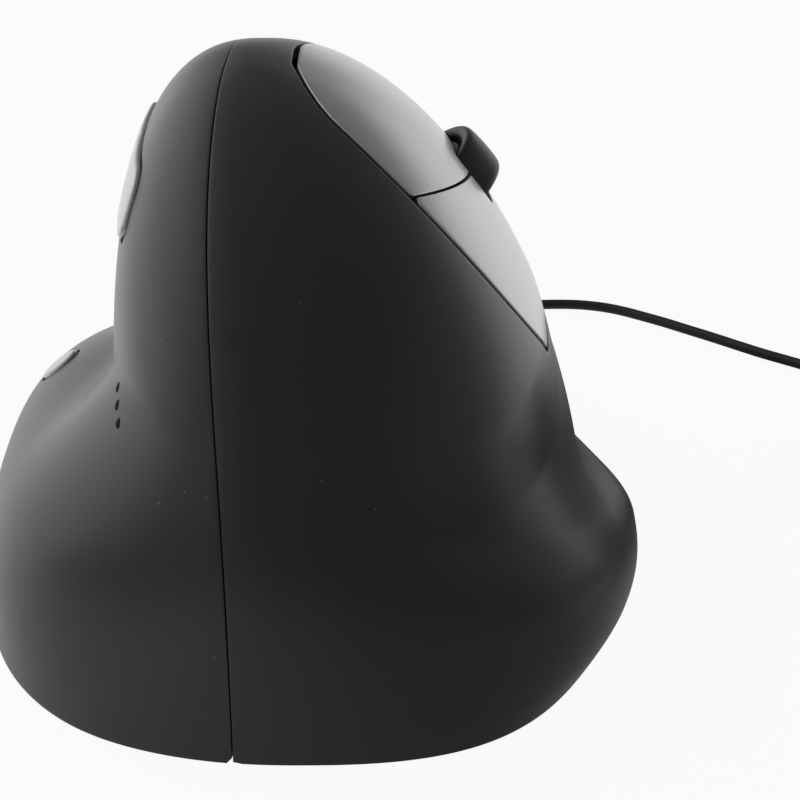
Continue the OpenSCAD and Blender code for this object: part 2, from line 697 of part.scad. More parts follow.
module wheel_cradle() {
    color(grey) at_wheel() difference() {
        union() {
            for (e = [-1, 1]) translate([e*(arm_in + arm_out)/2, 0, 0]) {
                w = arm_out - arm_in;
                translate([-w/2, 0, axle_z]) rotate([0, 90, 0]) cylinder(r = 3, h = w);
                translate([-w/2, -3, bar_top - 1]) cube([w, 6, axle_z - bar_top + 1]);
            }
            translate([-arm_out - 0.3, -tray_y + 0.3, bar_top - bar_t])
                cube([2*arm_out + 0.6, 2*tray_y - 0.6, bar_t]);
            translate([0, 0, bar_top - bar_t - stem_l]) cylinder(d = 3, h = stem_l + 0.5);
        }
        translate([-20, 0, axle_z]) rotate([0, 90, 0]) cylinder(d = axle_d + 0.1, h = 40);
    }
}

module wheel_switch() {
    color(black) at_wheel() translate([0, 0, tray_floor]) tact_body();
}

module wheel_plunger() {
    color(white) at_wheel() translate([0, 0, tray_floor]) tact_plunger();
}

module encoder_emitter() {
    color(grey) at_wheel() translate([-slot_w/2 - 2.9, encoder_y, switch_board_top]) cube([2.4, 4, 8]);
}

module encoder_receiver() {
    color(black) at_wheel() translate([slot_w/2 + 0.5, encoder_y, switch_board_top]) cube([2.4, 4, 8]);
}

// Thumb side

module thumb_board() {
    color(green) difference() {
        translate([thumb_board_x - board_t, thumb_board_y, thumb_board_low])
            cube([board_t, thumb_board_l, thumb_board_h]);
        for (p = thumb_pads) translate([thumb_board_x - board_t - 1, p[0], p[1]]) rotate([0, 90, 0])
            cylinder(d = small_screw_d + 0.3, h = board_t + 2);
    }
}

module on_thumb_board(k) {
    translate([tact_x, thumb_y[k], thumb_z]) rotate([0, -90, 0]) children();
}

module thumb_switches() {
    color(black) for (k = [0, 1]) on_thumb_board(k) tact_body();
}

module forward_plunger() {
    color(white) on_thumb_board(0) tact_plunger();
}

module back_plunger() {
    color(white) on_thumb_board(1) tact_plunger();
}

// A window-sized plate in the thumb wall; grow widens its far end and its upper and lower edges
module thumb_plate(k, top, low, grow) {
    z0 = thumb_low + thumb_gap - grow;
    z1 = thumb_high - 0.9*thumb_gap + grow;
    far = k == 0 ? thumb_front : thumb_rear;
    side = k == 0 ? -1 : 1;
    near = function (z) thumb_split + side*arc_deg(thumb_gap/2, 180, z);
    edge = function (z) far - side*arc_deg(thumb_gap - grow, far, z);
    cell = function (i, j) let (z = lerp(z0, z1, j/3))
        [k == 0 ? lerp(edge(z), near(z), i/5) : lerp(near(z), edge(z), i/5), z];
    outer = function (i, j) let (c = cell(i, j)) skin(c[0], c[1]) + top*out(c[0], c[1]);
    inner = function (i, j) let (c = cell(i, j)) skin(c[0], c[1]) - low*out(c[0], c[1]);
    sheet(5, 3, outer, inner, function (i, j) true);
}

module thumb_button(k) {
    x = skin(180, thumb_z)[0] + wall + 0.8;
    color(silver) union() {
        thumb_plate(k, thumb_out, flange_in + flange_t, 0);
        thumb_plate(k, -flange_in, flange_in + flange_t, 1.4);
        translate([x, thumb_y[k], thumb_z]) rotate([0, 90, 0]) cylinder(d = 3, h = stem_x - x);
    }
}

module forward_button() {
    thumb_button(0);
}

module back_button() {
    thumb_button(1);
}

module speed_button() {
    top = skin_top(speed_at[0], speed_at[1]);
    a = atan2(speed_at[1] - middle(top)[1], speed_at[0] - middle(top)[0]);
    n = out(a, top);
    low = board_top + tact_h + tact_pin;
    color(silver) difference() {
        union() {
            translate([speed_at[0], speed_at[1], low + 1]) cylinder(d = speed_d, h = top - low + 5);
            translate([speed_at[0], speed_at[1], low]) cylinder(d = 3, h = 2);
        }
        translate([speed_at[0], speed_at[1], top]) facing(n)
            translate([-10, -10, 0.8]) cube([20, 20, 20]);
    }
}

module on_speed_switch() {
    translate([speed_at[0], speed_at[1], board_top]) children();
}

module speed_switch() {
    color(black) on_speed_switch() tact_body();
}

module speed_plunger() {
    color(white) on_speed_switch() tact_plunger();
}

// The indicator windows are three light pipes on one bar, in front of their lamps

function window_place(w) = let (d = skin(w[0], w[1]*body_h) - window_mid, n = window_axis)
    let (b = acos(n[2]), c = atan2(n[1], n[0]))
    [d*[cos(b)*cos(c), cos(b)*sin(c), -sin(b)], d*[-sin(c), cos(c), 0], d*n];

module indicator_windows() {
    color(white) translate(window_mid) facing(window_axis) {
        for (w = windows) let (p = window_place(w))
            translate([p[0], p[1], -window_depth]) cylinder(d = window_d, h = window_depth + p[2] + 0.1);
        translate([-2, -5, -window_depth]) cube([4, 10, 1.5]);
    }
}

module indicator_board() {
    color(green) translate(window_mid) facing(window_axis)
        translate([-3, -6, -window_depth - board_t]) cube([6, 12, board_t]);
}

// Boards and what stands on the main one

module main_board() {
    color(green) difference() {
        translate([0, 0, board_z]) linear_extrude(board_t)
            polygon([[board_left, board_rear + board_bevel[1]], [board_left + board_bevel[0], board_rear],
                [board_right, board_rear], [board_right, board_front],
                [board_left + board_bevel[0], board_front], [board_left, board_front - board_bevel[2]]]);
        for (p = board_posts) translate([p[0], p[1], 0]) cylinder(d = small_screw_d + 0.3, h = 12);
        translate([sensor[0], sensor[1], 0]) cylinder(d = 6, h = 12);
    }
}

module board_screws() {
    color(steel) {
        for (p = board_posts) translate([p[0], p[1], board_top]) small_screw(4.4);
        on_slope() for (p = slope_posts) translate([p[0], p[1], switch_board_top]) small_screw(4.4);
        for (p = thumb_pads) translate([tact_x, p[0], p[1]]) rotate([0, -90, 0]) small_screw(4.4);
    }
}

module sensor_lens() {
    color([0.8, 0.85, 0.9]) translate([sensor[0], sensor[1], 0]) difference() {
        union() {
            translate([-10, -7, base_top]) cube([20, 14, 1.2]);
            translate([-5.8, -3.8, base_top - 1.2]) cube([11.6, 7.6, 1.5]);
            translate([0, 0, base_top + 1]) cylinder(d = 9, h = board_z - base_top - 1);
        }
        translate([0, 0, base_top - 2]) cylinder(d = 4, h = 1.4);
    }
}

module sensor_chip() {
    color(black) translate([sensor[0] - 6, sensor[1] - 5, board_top]) difference() {
        cube([12, 10, 3]);
        translate([6, 5, -1]) cylinder(d = 4, h = 2);
    }
}

module sensor_lamp() {
    color([0.7, 0.1, 0.1]) translate([sensor[0], sensor[1] - 6, board_top + 2.3]) rotate([90, 0, 0]) {
        cylinder(d = 4, h = 5);
        translate([0, 0, 5]) cylinder(d = 4.6, h = 1);
        translate([-1.5, -2.3, 1]) cube([3, 1.3, 4]);
    }
}

module controller_chip() {
    color(black) translate([board_left + 16, -9, board_top]) {
        translate([-5, -5, 0.3]) cube([10, 10, 1.5]);
        for (a = [0:90:270]) rotate(a) for (k = [-3:3])
            translate([4.8, 1.2*k - 0.25, 0]) cube([1.4, 0.5, 0.4]);
    }
}

module cord_socket() {
    color(white) translate([-13, 20, board_top]) cube([9, 7, 5]);
}

module board_ribbon() {
    z = board_top + 0.25;
    color(grey) strip([slope_xz(11, switch_board_low - 0.25), slope_xz(20, switch_board_low - 0.25),
        slope_xz(21.5, switch_board_low - 1.3), slope_xz(22, -20), [22, 16], [20, 12], [16, 10], [10, 8.5],
        [6, z + 0.4], [3, z], [-1, z]], 0.5, 0.5, 8);
}

module thumb_ribbon() {
    z = board_top + 0.25;
    x = thumb_board_x + 0.25;
    fold = [[x, thumb_z - 2.5], [x, 12], [x - 0.7, 9.5], [x - 2.5, z + 0.6], [x - 5, z], [x - 10, z]];
    color(grey) strip(fold, 0.5, 7, 7);
}

// Cord

module cord_tail() {
    color(black) tube(smooth([[exit_x, boot_y - collar_l - 1.6, exit_z], [5.6, 45, 7.1], [3.5, 41, 7.8],
        [-1.5, 36, 8.8], [-6, 32, 9], [-8.2, 29, 9], [-8.5, 27, 9]], 2), cord_r, 8, [0, -1, 0], [0, -1, 0]);
}

module cord_grommet() {
    color(black) translate([exit_x, boot_y, exit_z]) rotate([-90, 0, 0]) rotate_extrude()
        polygon([[0, -collar_l - 1.6], [4, -collar_l - 1.6], [4, -collar_l], [2.6, -collar_l], [2.6, 0],
            [4, 0], [4, 1.2], [2.4, 2], [1.6, boot_l], [0, boot_l]]);
}

// The coil winds in and out in flat layers, and climbs in the half turn between two layers
function coil_r(t) = let (k = floor(t/(spiral + 0.5)), s = min(1, (t - k*(spiral + 0.5))/spiral))
    k % 2 == 0 ? lerp(coil_outer, coil_inner, s) : lerp(coil_inner, coil_outer, s);
function coil_z(t) = let (k = floor(t/(spiral + 0.5)), s = max(0, (t - k*(spiral + 0.5) - spiral)/0.5))
    coil_low + coil_pitch*(k + (1 - cos(180*min(1, s)))/2);
function coil_point(t) = let (a = coil_start + 360*t)
    [coil_mid[0] + coil_r(t)*cos(a), coil_mid[1] + coil_r(t)*sin(a), coil_z(t)];
coil_wound = [for (i = [0:coil_rings]) coil_point(coil_turns*i/coil_rings - 0.00001)];
function tangent(t) = let (a = coil_start + 360*t) [-sin(a), cos(a), 0];
coil_first = coil_wound[0] - cord_d*tangent(0);
coil_last = coil_wound[coil_rings] + cord_d*tangent(coil_turns);
coil_line = concat([coil_first], coil_wound, [coil_last]);
function near_turn(i) = min([for (j = [i + 12:coil_rings]) norm(coil_wound[i] - coil_wound[j])]);
coil_gap = min([for (i = [0:coil_rings - 12]) near_turn(i)]) - cord_d;
echo(least_gap_in_coil = coil_gap);

module cord() {
    color(black) tube(smooth(concat(route, [coil_first]), 2), cord_r, 8, [0, 1, 0], tangent(0));
}

module cord_coil() {
    color(black) tube(coil_line, cord_r, 6, tangent(0), tangent(coil_turns));
}

module plug_cord() {
    color(black) tube(smooth([coil_last, [plug_x, 55, 8.2], [plug_x, 51, 7], [plug_x, 47, 5.4],
        [plug_x, 43.5, 4.3], [plug_x, plug_y, plug_z]], 2), cord_r, 8, tangent(coil_turns), [0, -1, 0]);
}

module cord_tie() {
    inner = sqrt(pow(coil_inner - cord_r, 2) - tie_w*tie_w/4) - tie_room;
    long = coil_outer + cord_r + tie_room - inner;
    high = coil_pitch*(coil_layers - 1) + cord_d + 2*tie_room;
    color(grey) translate([coil_mid[0], coil_mid[1], coil_low - cord_r - tie_room]) rotate(tie_a)
        difference() {
            translate([inner - tie_t, -tie_w/2, -tie_t]) cube([long + 2*tie_t, tie_w, high + 2*tie_t]);
            translate([inner, -tie_w, 0]) cube([long, 2*tie_w, high]);
        }
}

module plug_grip() {
    color(black) translate([plug_x, plug_y, plug_z]) rotate([90, 0, 0]) {
        cylinder(r1 = 1.8, r2 = 2.6, h = 6.5);
        translate([0, 0, 6]) linear_extrude(grip_l - 6) {
            square([grip_w, grip_t - 3], center = true);
            square([grip_w - 3, grip_t], center = true);
            for (x = [-1, 1], y = [-1, 1])
                translate([x*(grip_w/2 - 1.5), y*(grip_t/2 - 1.5)]) circle(r = 1.5);
        }
    }
}

module plug_shell() {
    color(steel) translate([plug_x, plug_y - grip_l, plug_z]) rotate([90, 0, 0]) difference() {
        translate([-shell_w/2, -shell_h/2, 0]) cube([shell_w, shell_h, shell_l]);
        translate([-shell_w/2 + 0.3, -shell_h/2 + 0.3, -1]) cube([shell_w - 0.6, shell_h - 0.6, shell_l + 2]);
        for (x = [-3.2, 1.2], y = [-5, 0]) translate([x, y, 5]) cube([2, 5, 2]);
    }
}

module plug_tongue() {
    color(white) translate([plug_x, plug_y - grip_l, plug_z]) rotate([90, 0, 0])
        translate([-shell_w/2 + 0.3, -shell_h/2 + 0.3, 0]) cube([shell_w - 0.6, 1.8, shell_l - 0.6]);
}

base_plate();
glide_feet();
base_screws();
thumb_shell();
palm_shell();
index_button();
middle_button();
hinge_rod();
button_frame();
frame_screws();
button_board();
button_switches();
index_plunger();
middle_plunger();
wheel_tyre();
wheel_hub();
wheel_cradle();
wheel_switch();
wheel_plunger();
encoder_emitter();
encoder_receiver();
thumb_board();
thumb_switches();
forward_plunger();
back_plunger();
forward_button();
back_button();
speed_button();
speed_switch();
speed_plunger();
indicator_windows();
indicator_board();
main_board();
board_screws();
sensor_lens();
sensor_chip();
sensor_lamp();
controller_chip();
cord_socket();
board_ribbon();
thumb_ribbon();
cord_tail();
cord_grommet();
cord();
cord_coil();
plug_cord();
cord_tie();
plug_grip();
plug_shell();
plug_tongue();
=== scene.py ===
# Upright computer mouse for the right hand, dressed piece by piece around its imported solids.
# Sizes of pieces are in millimetres and become metres in their meshes. Camera, light and finishes
# are in metres.
import json
import math

import bpy
import numpy as np
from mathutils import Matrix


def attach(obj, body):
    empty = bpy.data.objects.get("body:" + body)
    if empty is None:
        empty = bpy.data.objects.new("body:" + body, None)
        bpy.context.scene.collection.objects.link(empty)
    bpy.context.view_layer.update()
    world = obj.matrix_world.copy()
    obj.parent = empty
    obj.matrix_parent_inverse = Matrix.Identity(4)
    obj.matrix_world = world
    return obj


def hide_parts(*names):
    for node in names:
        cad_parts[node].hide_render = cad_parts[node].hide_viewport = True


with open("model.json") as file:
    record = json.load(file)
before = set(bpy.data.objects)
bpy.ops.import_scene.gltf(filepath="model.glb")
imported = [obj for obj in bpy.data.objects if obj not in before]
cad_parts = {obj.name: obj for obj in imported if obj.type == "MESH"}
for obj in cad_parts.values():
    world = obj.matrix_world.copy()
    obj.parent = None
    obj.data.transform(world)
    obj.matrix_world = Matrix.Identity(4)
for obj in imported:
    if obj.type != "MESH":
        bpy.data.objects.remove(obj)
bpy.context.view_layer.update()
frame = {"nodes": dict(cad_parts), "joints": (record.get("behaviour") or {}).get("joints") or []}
nodes = frame["nodes"]

# Table, light and camera.
# A white sheet of paper under a wide soft lamp at the left, in a room that is bright on that side
# and dim elsewhere, and a camera a little above the palm end, as the mouse was photographed.
picture_pixels, focal_pixels = 800, 2379
camera_data = bpy.data.cameras.new("camera")
camera_data.sensor_fit = "HORIZONTAL"
camera_data.sensor_width = 36
camera_data.lens = 36*focal_pixels/picture_pixels
camera_data.clip_start = 0.01
camera = bpy.data.objects.new("camera", camera_data)
camera.location = (0.0122875, -0.2964935, 0.1705898)
camera.rotation_euler = (math.radians(63.586), math.radians(0.217), 0)
bpy.context.collection.objects.link(camera)
bpy.context.scene.camera = camera
bpy.context.scene.view_settings.view_transform = "Standard"

lamp_at, lamp_aim = (-0.85, 0.25, 0.35), (0, 0, 0.03)
lamp = bpy.data.lights.new("left_softbox", "AREA")
lamp.shape = "RECTANGLE"
lamp.size, lamp.size_y = 1.6, 1.2
lamp.energy = 0.9
softbox = bpy.data.objects.new("left_softbox", lamp)
softbox.location = lamp_at
x, y, z = (a - b for a, b in zip(lamp_aim, lamp_at))
softbox.rotation_euler = (math.atan2(math.hypot(x, y), -z), 0, math.atan2(y, x) - math.pi/2)
bpy.context.collection.objects.link(softbox)


class Wire:
    """One output of a finish's nodes. Sums of wires and numbers add Math nodes."""

    def __init__(self, finish, socket):
        self.finish = finish
        self.socket = socket

    def sum_of(self, operation, first, second):
        return self.finish.node("ShaderNodeMath", {"operation": operation}, {0: first, 1: second})

    def __add__(self, other):
        return self.sum_of("ADD", self, other)

    def __radd__(self, other):
        return self.sum_of("ADD", other, self)

    def __sub__(self, other):
        return self.sum_of("SUBTRACT", self, other)

    def __rsub__(self, other):
        return self.sum_of("SUBTRACT", other, self)

    def __mul__(self, other):
        return self.sum_of("MULTIPLY", self, other)

    def __rmul__(self, other):
        return self.sum_of("MULTIPLY", other, self)


class Finish:
    """A material, or the sky, that is put together node by node."""

    def __init__(self, name, owner=None):
        self.material = owner or bpy.data.materials.new(name)
        self.material.use_nodes = True
        self.tree = self.material.node_tree
        self.shader = self.tree.nodes.get("Principled BSDF")

    def node(self, kind, settings, sockets, out=0):
        made = self.tree.nodes.new(kind)
        for key, value in settings.items():
            setattr(made, key, value)
        self.feed(made, sockets)
        return Wire(self, made.outputs[out])

    def feed(self, made, sockets):
        for key, value in sockets.items():
            if isinstance(value, Wire):
                self.tree.links.new(value.socket, made.inputs[key])
            else:
                made.inputs[key].default_value = value

    def spot(self):
        return self.node("ShaderNodeTexCoord", {}, {}, "Object")

    def noise(self, scale, detail=2.0, spot=None):
        sockets = {"Vector": spot or self.spot(), "Scale": scale, "Detail": detail}
        return self.node("ShaderNodeTexNoise", {}, sockets)

    def mixed(self, share, first, second):
        return self.node("ShaderNodeMix", {"data_type": "RGBA"}, {0: share, 6: first, 7: second}, 2)

    def bumped(self, height, strength, depth):
        return self.node("ShaderNodeBump", {}, {"Height": height, "Strength": strength, "Distance": depth})


def ray(finish, kind):
    """One where the ray that meets a finish is of a kind, and else zero."""
    return finish.node("ShaderNodeLightPath", {}, {}, "Is " + kind + " Ray")


def axes(spot):
    """The three parts of a place or a direction."""
    return [spot.finish.node("ShaderNodeSeparateXYZ", {}, {0: spot}, axis) for axis in "XYZ"]


def risen(value, low, high):
    """How far a value has gone from low to high, from 0 to 1."""
    return value.finish.node("ShaderNodeMapRange", {"interpolation_type": "SMOOTHSTEP"},
                             {"Value": value, "From Min": low, "From Max": high})


# Shiny pieces mirror a painted glow on the paper rather than its lit surface: white at the left and dimmer
# in front, far off and at the near right.
paper = Finish("white_paper")
x, y, _ = axes(paper.spot())
dimmed_glow_zone = (1.0 - risen(0.0 - x, 0.0, 0.08))*(1.0 - risen(y, 0.045, 0.115))
front = risen(0.02 - y, 0.0, 0.06)
right = risen(x, -0.05, 0.03)
away = risen(x*x + y*y, 0.008, 0.04)
painted_reflection_level = (1.0 - 0.9*(1.0 - front)*dimmed_glow_zone)*(1.0 - front*(0.3 + 0.4*right))*(1.0 - 0.6*front*away)
mirrored = ray(paper, "Glossy")
shown = ray(paper, "Camera")*0.94 + mirrored + ray(paper, "Transmission")*0.8
white = paper.mixed(paper.noise(900), (0.86, 0.86, 0.86, 1), (0.9, 0.9, 0.9, 1))
paper.feed(paper.shader, {"Base Color": white, "Roughness": 0.9})
# Painted reflection: the glow that mirrored rays see is darkened by painted masks, not by how the lamp
# falls on the paper.
glow = paper.node("ShaderNodeEmission", {}, {"Color": 1.0 - mirrored*(1.0 - painted_reflection_level), "Strength": 1.0})
lit = paper.node("ShaderNodeMixShader", {}, {0: shown, 1: Wire(paper, paper.shader.outputs[0]), 2: glow})
paper.feed(paper.tree.nodes["Material Output"], {"Surface": lit})
floor_half, floor_z = 3, -0.0003
floor_corners = [(floor_half*i, floor_half*j, floor_z) for i, j in ((-1, -1), (1, -1), (1, 1), (-1, 1))]
floor_mesh = bpy.data.meshes.new("floor")
floor_mesh.from_pydata(floor_corners, [], [(0, 1, 2, 3)])
floor = bpy.data.objects.new("floor", floor_mesh)
floor_mesh.materials.append(paper.material)
bpy.context.collection.objects.link(floor)

sky = Finish("sky", bpy.context.scene.world or bpy.data.worlds.new("sky"))
bpy.context.scene.world = sky.material
x, y, z = axes(sky.node("ShaderNodeTexCoord", {}, {}, "Generated"))
window = risen(0.0 - x, 0.05, 0.7)*(1.0 - 0.6*risen(0.3 - y, 0.0, 0.8))
right_wall = risen(x, 0.6, 0.9)*(1.0 - risen(z, 0.3, 0.7))
far_wall = risen(y, 0.5, 0.85)*(1.0 - risen(z, 0.05, 0.3))*risen(x, -0.1, 0.15)
studio = 0.2 + 0.9*window + 0.12*right_wall + 0.75*far_wall
seen = ray(sky, "Camera") + ray(sky, "Transmission")
brightness = sky.node("ShaderNodeMix", {}, {0: seen, 2: studio, 3: 1.0})
sky.feed(sky.tree.nodes["Background"], {"Color": (1, 1, 1, 1), "Strength": brightness})

# Cord.
# A thin round lead with a soft black jacket. It leaves the nose, drops to the table and runs to
# the right; the length out of sight is wound in flat layers and ends in a plug.
cord_d = 1.7
exit_at = (6, 64, 7.6)
route = [exit_at, (6.3, 67, 6.6), (7.5, 70.5, 5.4), (10, 74, 3.8), (13.8, 77, 2.3),
         (18.5, 79.2, 1.3), (23.5, 80.7, 0.9), (29, 81.7, 0.9), (35, 82.3, 0.9), (41, 82.4, 0.9),
         (45.5, 81.6, 0.9), (49.5, 79.9, 0.9), (53.4, 77.3, 0.9), (57.2, 74.5, 0.9), (61, 71.4, 0.9),
         (64.8, 68.3, 0.9), (68.4, 65.2, 0.9), (72, 62.2, 0.9), (75.6, 59.4, 0.95), (79, 56.4, 1.1)]
coil_mid = (98, 60)
coil_pitch = cord_d + 0.75
coil_low = cord_d/2 + 0.7
coil_outer = 16.2
coil_from = 216.9
coil_turns = 19.8975
coil_layers = 4
climb_turns = 0.5
coil_spiral = (coil_turns - climb_turns*(coil_layers - 1))/coil_layers
coil_inner = coil_outer - coil_spiral*coil_pitch
plug_x, plug_y, plug_z = 81.8, 40, 4
line_steps, wound_steps = 8, 960


def coil_point(t):
    """A point of the winding after t turns: in and out in flat layers, with a short climb between."""
    layer = math.floor(t/(coil_spiral + climb_turns))
    along = t - layer*(coil_spiral + climb_turns)
    share = min(1, along/coil_spiral)
    climb = min(1, max(0, (along - coil_spiral)/climb_turns))
    inward = share if layer % 2 == 0 else 1 - share
    radius = coil_outer + (coil_inner - coil_outer)*inward
    height = coil_low + coil_pitch*(layer + (1 - math.cos(math.pi*climb))/2)
    angle = math.radians(coil_from + 360*t)
    return (coil_mid[0] + radius*math.cos(angle), coil_mid[1] + radius*math.sin(angle), height)


def smooth_line(points):
    """A line through all points, without corners."""
    p = np.array([points[0], *points, points[-1]], float)
    line = []
    for a, b, c, d in zip(p, p[1:], p[2:], p[3:]):
        for k in range(line_steps):
            t = k/line_steps
            line.append(b + t*(c - a)/2 + t*t*(a - 2.5*b + 2*c - d/2) + t**3*(1.5*b - a/2 - 1.5*c + d/2))
    return np.array(line + [p[-1]])


# The winding stops a hair short of its last turn, so that its end still belongs to the top layer.
# The lead joins it at its third point and leaves it fourteen points before that end.
wound = [coil_point(coil_turns*k/wound_steps - 0.00001) for k in range(wound_steps + 1)]
lead_in = smooth_line(route + wound[2:14:3])[:(len(route) - 1)*line_steps]
lead_across = smooth_line([route[-2], route[-1], wound[2], wound[5]])[line_steps:2*line_steps]
to_plug = [(plug_x, y, z) for y, z in ((55, 8.2), (51, 7), (47, 5.4), (43.5, 4.3), (plug_y, plug_z))]
lead_out = smooth_line(wound[-14:-2:3] + to_plug)
cord_line = np.concatenate([lead_in, lead_across, wound[2:-14], lead_out])

jacket = Finish("cord_jacket")
bloom = jacket.noise(120, 3)
jacket.feed(jacket.shader, {
    "Base Color": jacket.mixed(bloom, (0.012, 0.012, 0.013, 1), (0.028, 0.028, 0.03, 1)),
    "Roughness": 0.42 + 0.16*bloom, "Specular IOR Level": 0.35,
    "Normal": jacket.bumped(jacket.noise(5000), 0.15, 0.00002)})


def add_piece(name, mesh, finish, body, slot, *replaced):
    """Puts a finished mesh or curve into the scene, on its body, in place of its solids."""
    piece = bpy.data.objects.new(name, mesh)
    mesh.materials.clear()
    mesh.materials.append(finish.material)
    bpy.context.collection.objects.link(piece)
    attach(piece, body)
    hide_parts(*replaced)
    return piece


cord_curve = bpy.data.curves.new("lead", "CURVE")
cord_curve.dimensions = "3D"
cord_curve.bevel_depth = cord_d/2000
cord_curve.bevel_resolution = 3
cord_curve.use_fill_caps = True
spline = cord_curve.splines.new("POLY")
spline.points.add(len(cord_line) - 1)
spline.points.foreach_set("co", np.column_stack([cord_line/1000, np.ones(len(cord_line))]).ravel())
lead = add_piece("lead", cord_curve, jacket, "case", "cord_black", "cord", "cord_coil", "plug_cord")

# Strain relief.
# A tapered rubber sleeve with a flange on each side of the nose wall and rings that let it bend,
# moulded on to the cord.
relief_at = (6, 55, 7.6)
ring_at = [3.3, 4.6, 5.9, 7.2]
sleeve_profile = [(3.9, -7), (4, -6.9), (4, -5.5), (3.9, -5.4), (2.6, -5.4), (2.6, 0), (3.9, 0), (4, 0.1),
                  (4, 1), (3.7, 1.25), (2.4, 2), (1.7, 8.2), (1.6, 8.8), (1.45, 9)]
ring_profile = [(0.6, -0.36), (0.92, -0.3), (1, -0.12), (1, 0.12), (0.92, 0.3), (0.6, 0.36)]


def closed_mesh(name, points, faces):
    """A smooth mesh in metres from points in millimetres."""
    mesh = bpy.data.meshes.new(name)
    mesh.from_pydata((np.asarray(points, float)/1000).tolist(), [], [list(map(int, f)) for f in faces])
    mesh.polygons.foreach_set("use_smooth", np.ones(len(mesh.polygons), bool))
    mesh.update()
    return mesh


def capped(rings, sides):
    """Faces of a stack of rings of points between two poles, the first and the last point."""
    faces = []
    last = 1 + (rings - 1)*sides
    for k in range(sides):
        n = (k + 1) % sides
        faces.append((0, 1 + n, 1 + k))
        for a in range(1, last, sides):
            faces.append((a + k, a + n, a + sides + n, a + sides + k))
        faces.append((last + k, last + n, last + sides))
    return faces


def turned(name, profile, at, sides=40):
    """A mesh of a profile of (radius, distance) turned about a line along y from a place."""
    x, y, z = at
    points = [(x, y + profile[0][1], z)]
    for r, along in profile:
        for k in range(sides):
            turn = 2*math.pi*k/sides
            points.append((x + r*math.cos(turn), y + along, z - r*math.sin(turn)))
    points.append((x, y + profile[-1][1], z))
    return closed_mesh(name, points, capped(len(profile), sides))


def repeated(name, places, sizes, shape, finish):
    """Copies of a mesh at places, each with its own size, joined to one plain mesh."""
    tree = bpy.data.node_groups.new(name, "GeometryNodeTree")
    face = tree.interface
    face.new_socket("Places", in_out="INPUT", socket_type="NodeSocketGeometry")
    shape_in = face.new_socket("Shape", in_out="INPUT", socket_type="NodeSocketObject")
    finish_in = face.new_socket("Finish", in_out="INPUT", socket_type="NodeSocketMaterial")
    face.new_socket("Copies", in_out="OUTPUT", socket_type="NodeSocketGeometry")
    start = tree.nodes.new("NodeGroupInput").outputs
    end = tree.nodes.new("NodeGroupOutput").inputs
    info = tree.nodes.new("GeometryNodeObjectInfo")
    size = tree.nodes.new("GeometryNodeInputNamedAttribute")
    size.data_type = "FLOAT_VECTOR"
    size.inputs["Name"].default_value = "copy_size"
    spread = tree.nodes.new("GeometryNodeInstanceOnPoints")
    real = tree.nodes.new("GeometryNodeRealizeInstances")
    coat = tree.nodes.new("GeometryNodeSetMaterial")
    for source, target in ((start["Places"], spread.inputs["Points"]),
                           (start["Shape"], info.inputs["Object"]),
                           (info.outputs["Geometry"], spread.inputs["Instance"]),
                           (size.outputs["Attribute"], spread.inputs["Scale"]),
                           (spread.outputs["Instances"], real.inputs["Geometry"]),
                           (real.outputs["Geometry"], coat.inputs["Geometry"]),
                           (start["Finish"], coat.inputs["Material"]),
                           (coat.outputs["Geometry"], end["Copies"])):
        tree.links.new(source, target)
    points = bpy.data.meshes.new(name)
    points.from_pydata([tuple(c/1000 for c in p) for p in places], [], [])
    points.attributes.new("copy_size", "FLOAT_VECTOR", "POINT").data.foreach_set("vector", np.ravel(sizes))
    holder = bpy.data.objects.new(name, points)
    sample = bpy.data.objects.new(name + "_one", shape)
    for thing in (holder, sample):
        bpy.context.collection.objects.link(thing)
    copies = holder.modifiers.new("copies", "NODES")
    copies.node_group = tree
    copies[shape_in.identifier] = sample
    copies[finish_in.identifier] = finish.material
    mesh = bpy.data.meshes.new_from_object(holder.evaluated_get(bpy.context.evaluated_depsgraph_get()))
    for thing in (holder, sample):
        bpy.data.objects.remove(thing)
    return mesh


def joined(name, *meshes):
    """One mesh from several."""
    points, faces, start = [], [], 0
    for mesh in meshes:
        points += [tuple(v.co*1000) for v in mesh.vertices]
        faces += [[start + k for k in p.vertices] for p in mesh.polygons]
        start += len(mesh.vertices)
    return closed_mesh(name, points, faces)


ring_sizes = [2.55 - 0.11*y for y in ring_at]
rings = repeated("relief_rings", [(relief_at[0], relief_at[1] + y, relief_at[2]) for y in ring_at],
                 [(r, 1, r) for r in ring_sizes], turned("relief_ring", ring_profile, (0, 0, 0)), jacket)
sleeve = turned("sleeve", sleeve_profile, relief_at)
relief = add_piece("strain_relief", joined("strain_relief", sleeve, rings), jacket,
                   "case", "cord_black", "cord_grommet")

# Cord tie.
# A narrow woven strap that goes once round the bundle of turns and is pressed shut on itself,
# black and matt.
tie_w, tie_t, tie_room = 2.6, 0.5, 0.15
tie_turn = math.radians(330)
bend_out, bend_in, bend_steps = 1.0, 0.6, 7
tie_in = math.sqrt((coil_inner - cord_d/2)**2 - tie_w**2/4) - tie_room
tie_out = coil_outer + cord_d/2 + tie_room
tie_low = coil_low - cord_d/2 - tie_room
tie_high = tie_low + coil_pitch*(coil_layers - 1) + cord_d + 2*tie_room
tie_profile = [(0, -1), (0, 1), (0.35, 1.06), (0.75, 1.02), (1, 0.9),
               (1, -0.9), (0.75, -1.02), (0.35, -1.06)]
weave = Finish("woven_strap")
threads = weave.node("ShaderNodeTexWave", {"bands_direction": "DIAGONAL"},
                     {"Vector": weave.spot(), "Scale": 900.0, "Distortion": 1.5})
weave.feed(weave.shader, {
    "Base Color": weave.mixed(threads, (0.012, 0.012, 0.012, 1), (0.05, 0.05, 0.052, 1)),
    "Roughness": 0.92, "Normal": weave.bumped(threads, 0.6, 0.0001)})
tie_corners = [(tie_out - bend_out, tie_high - bend_out, bend_out, 0),
               (tie_in + bend_in, tie_high - bend_in, bend_in, 90),
               (tie_in + bend_in, tie_low + bend_in, bend_in, 180),
               (tie_out - bend_out, tie_low + bend_out, bend_out, 270)]
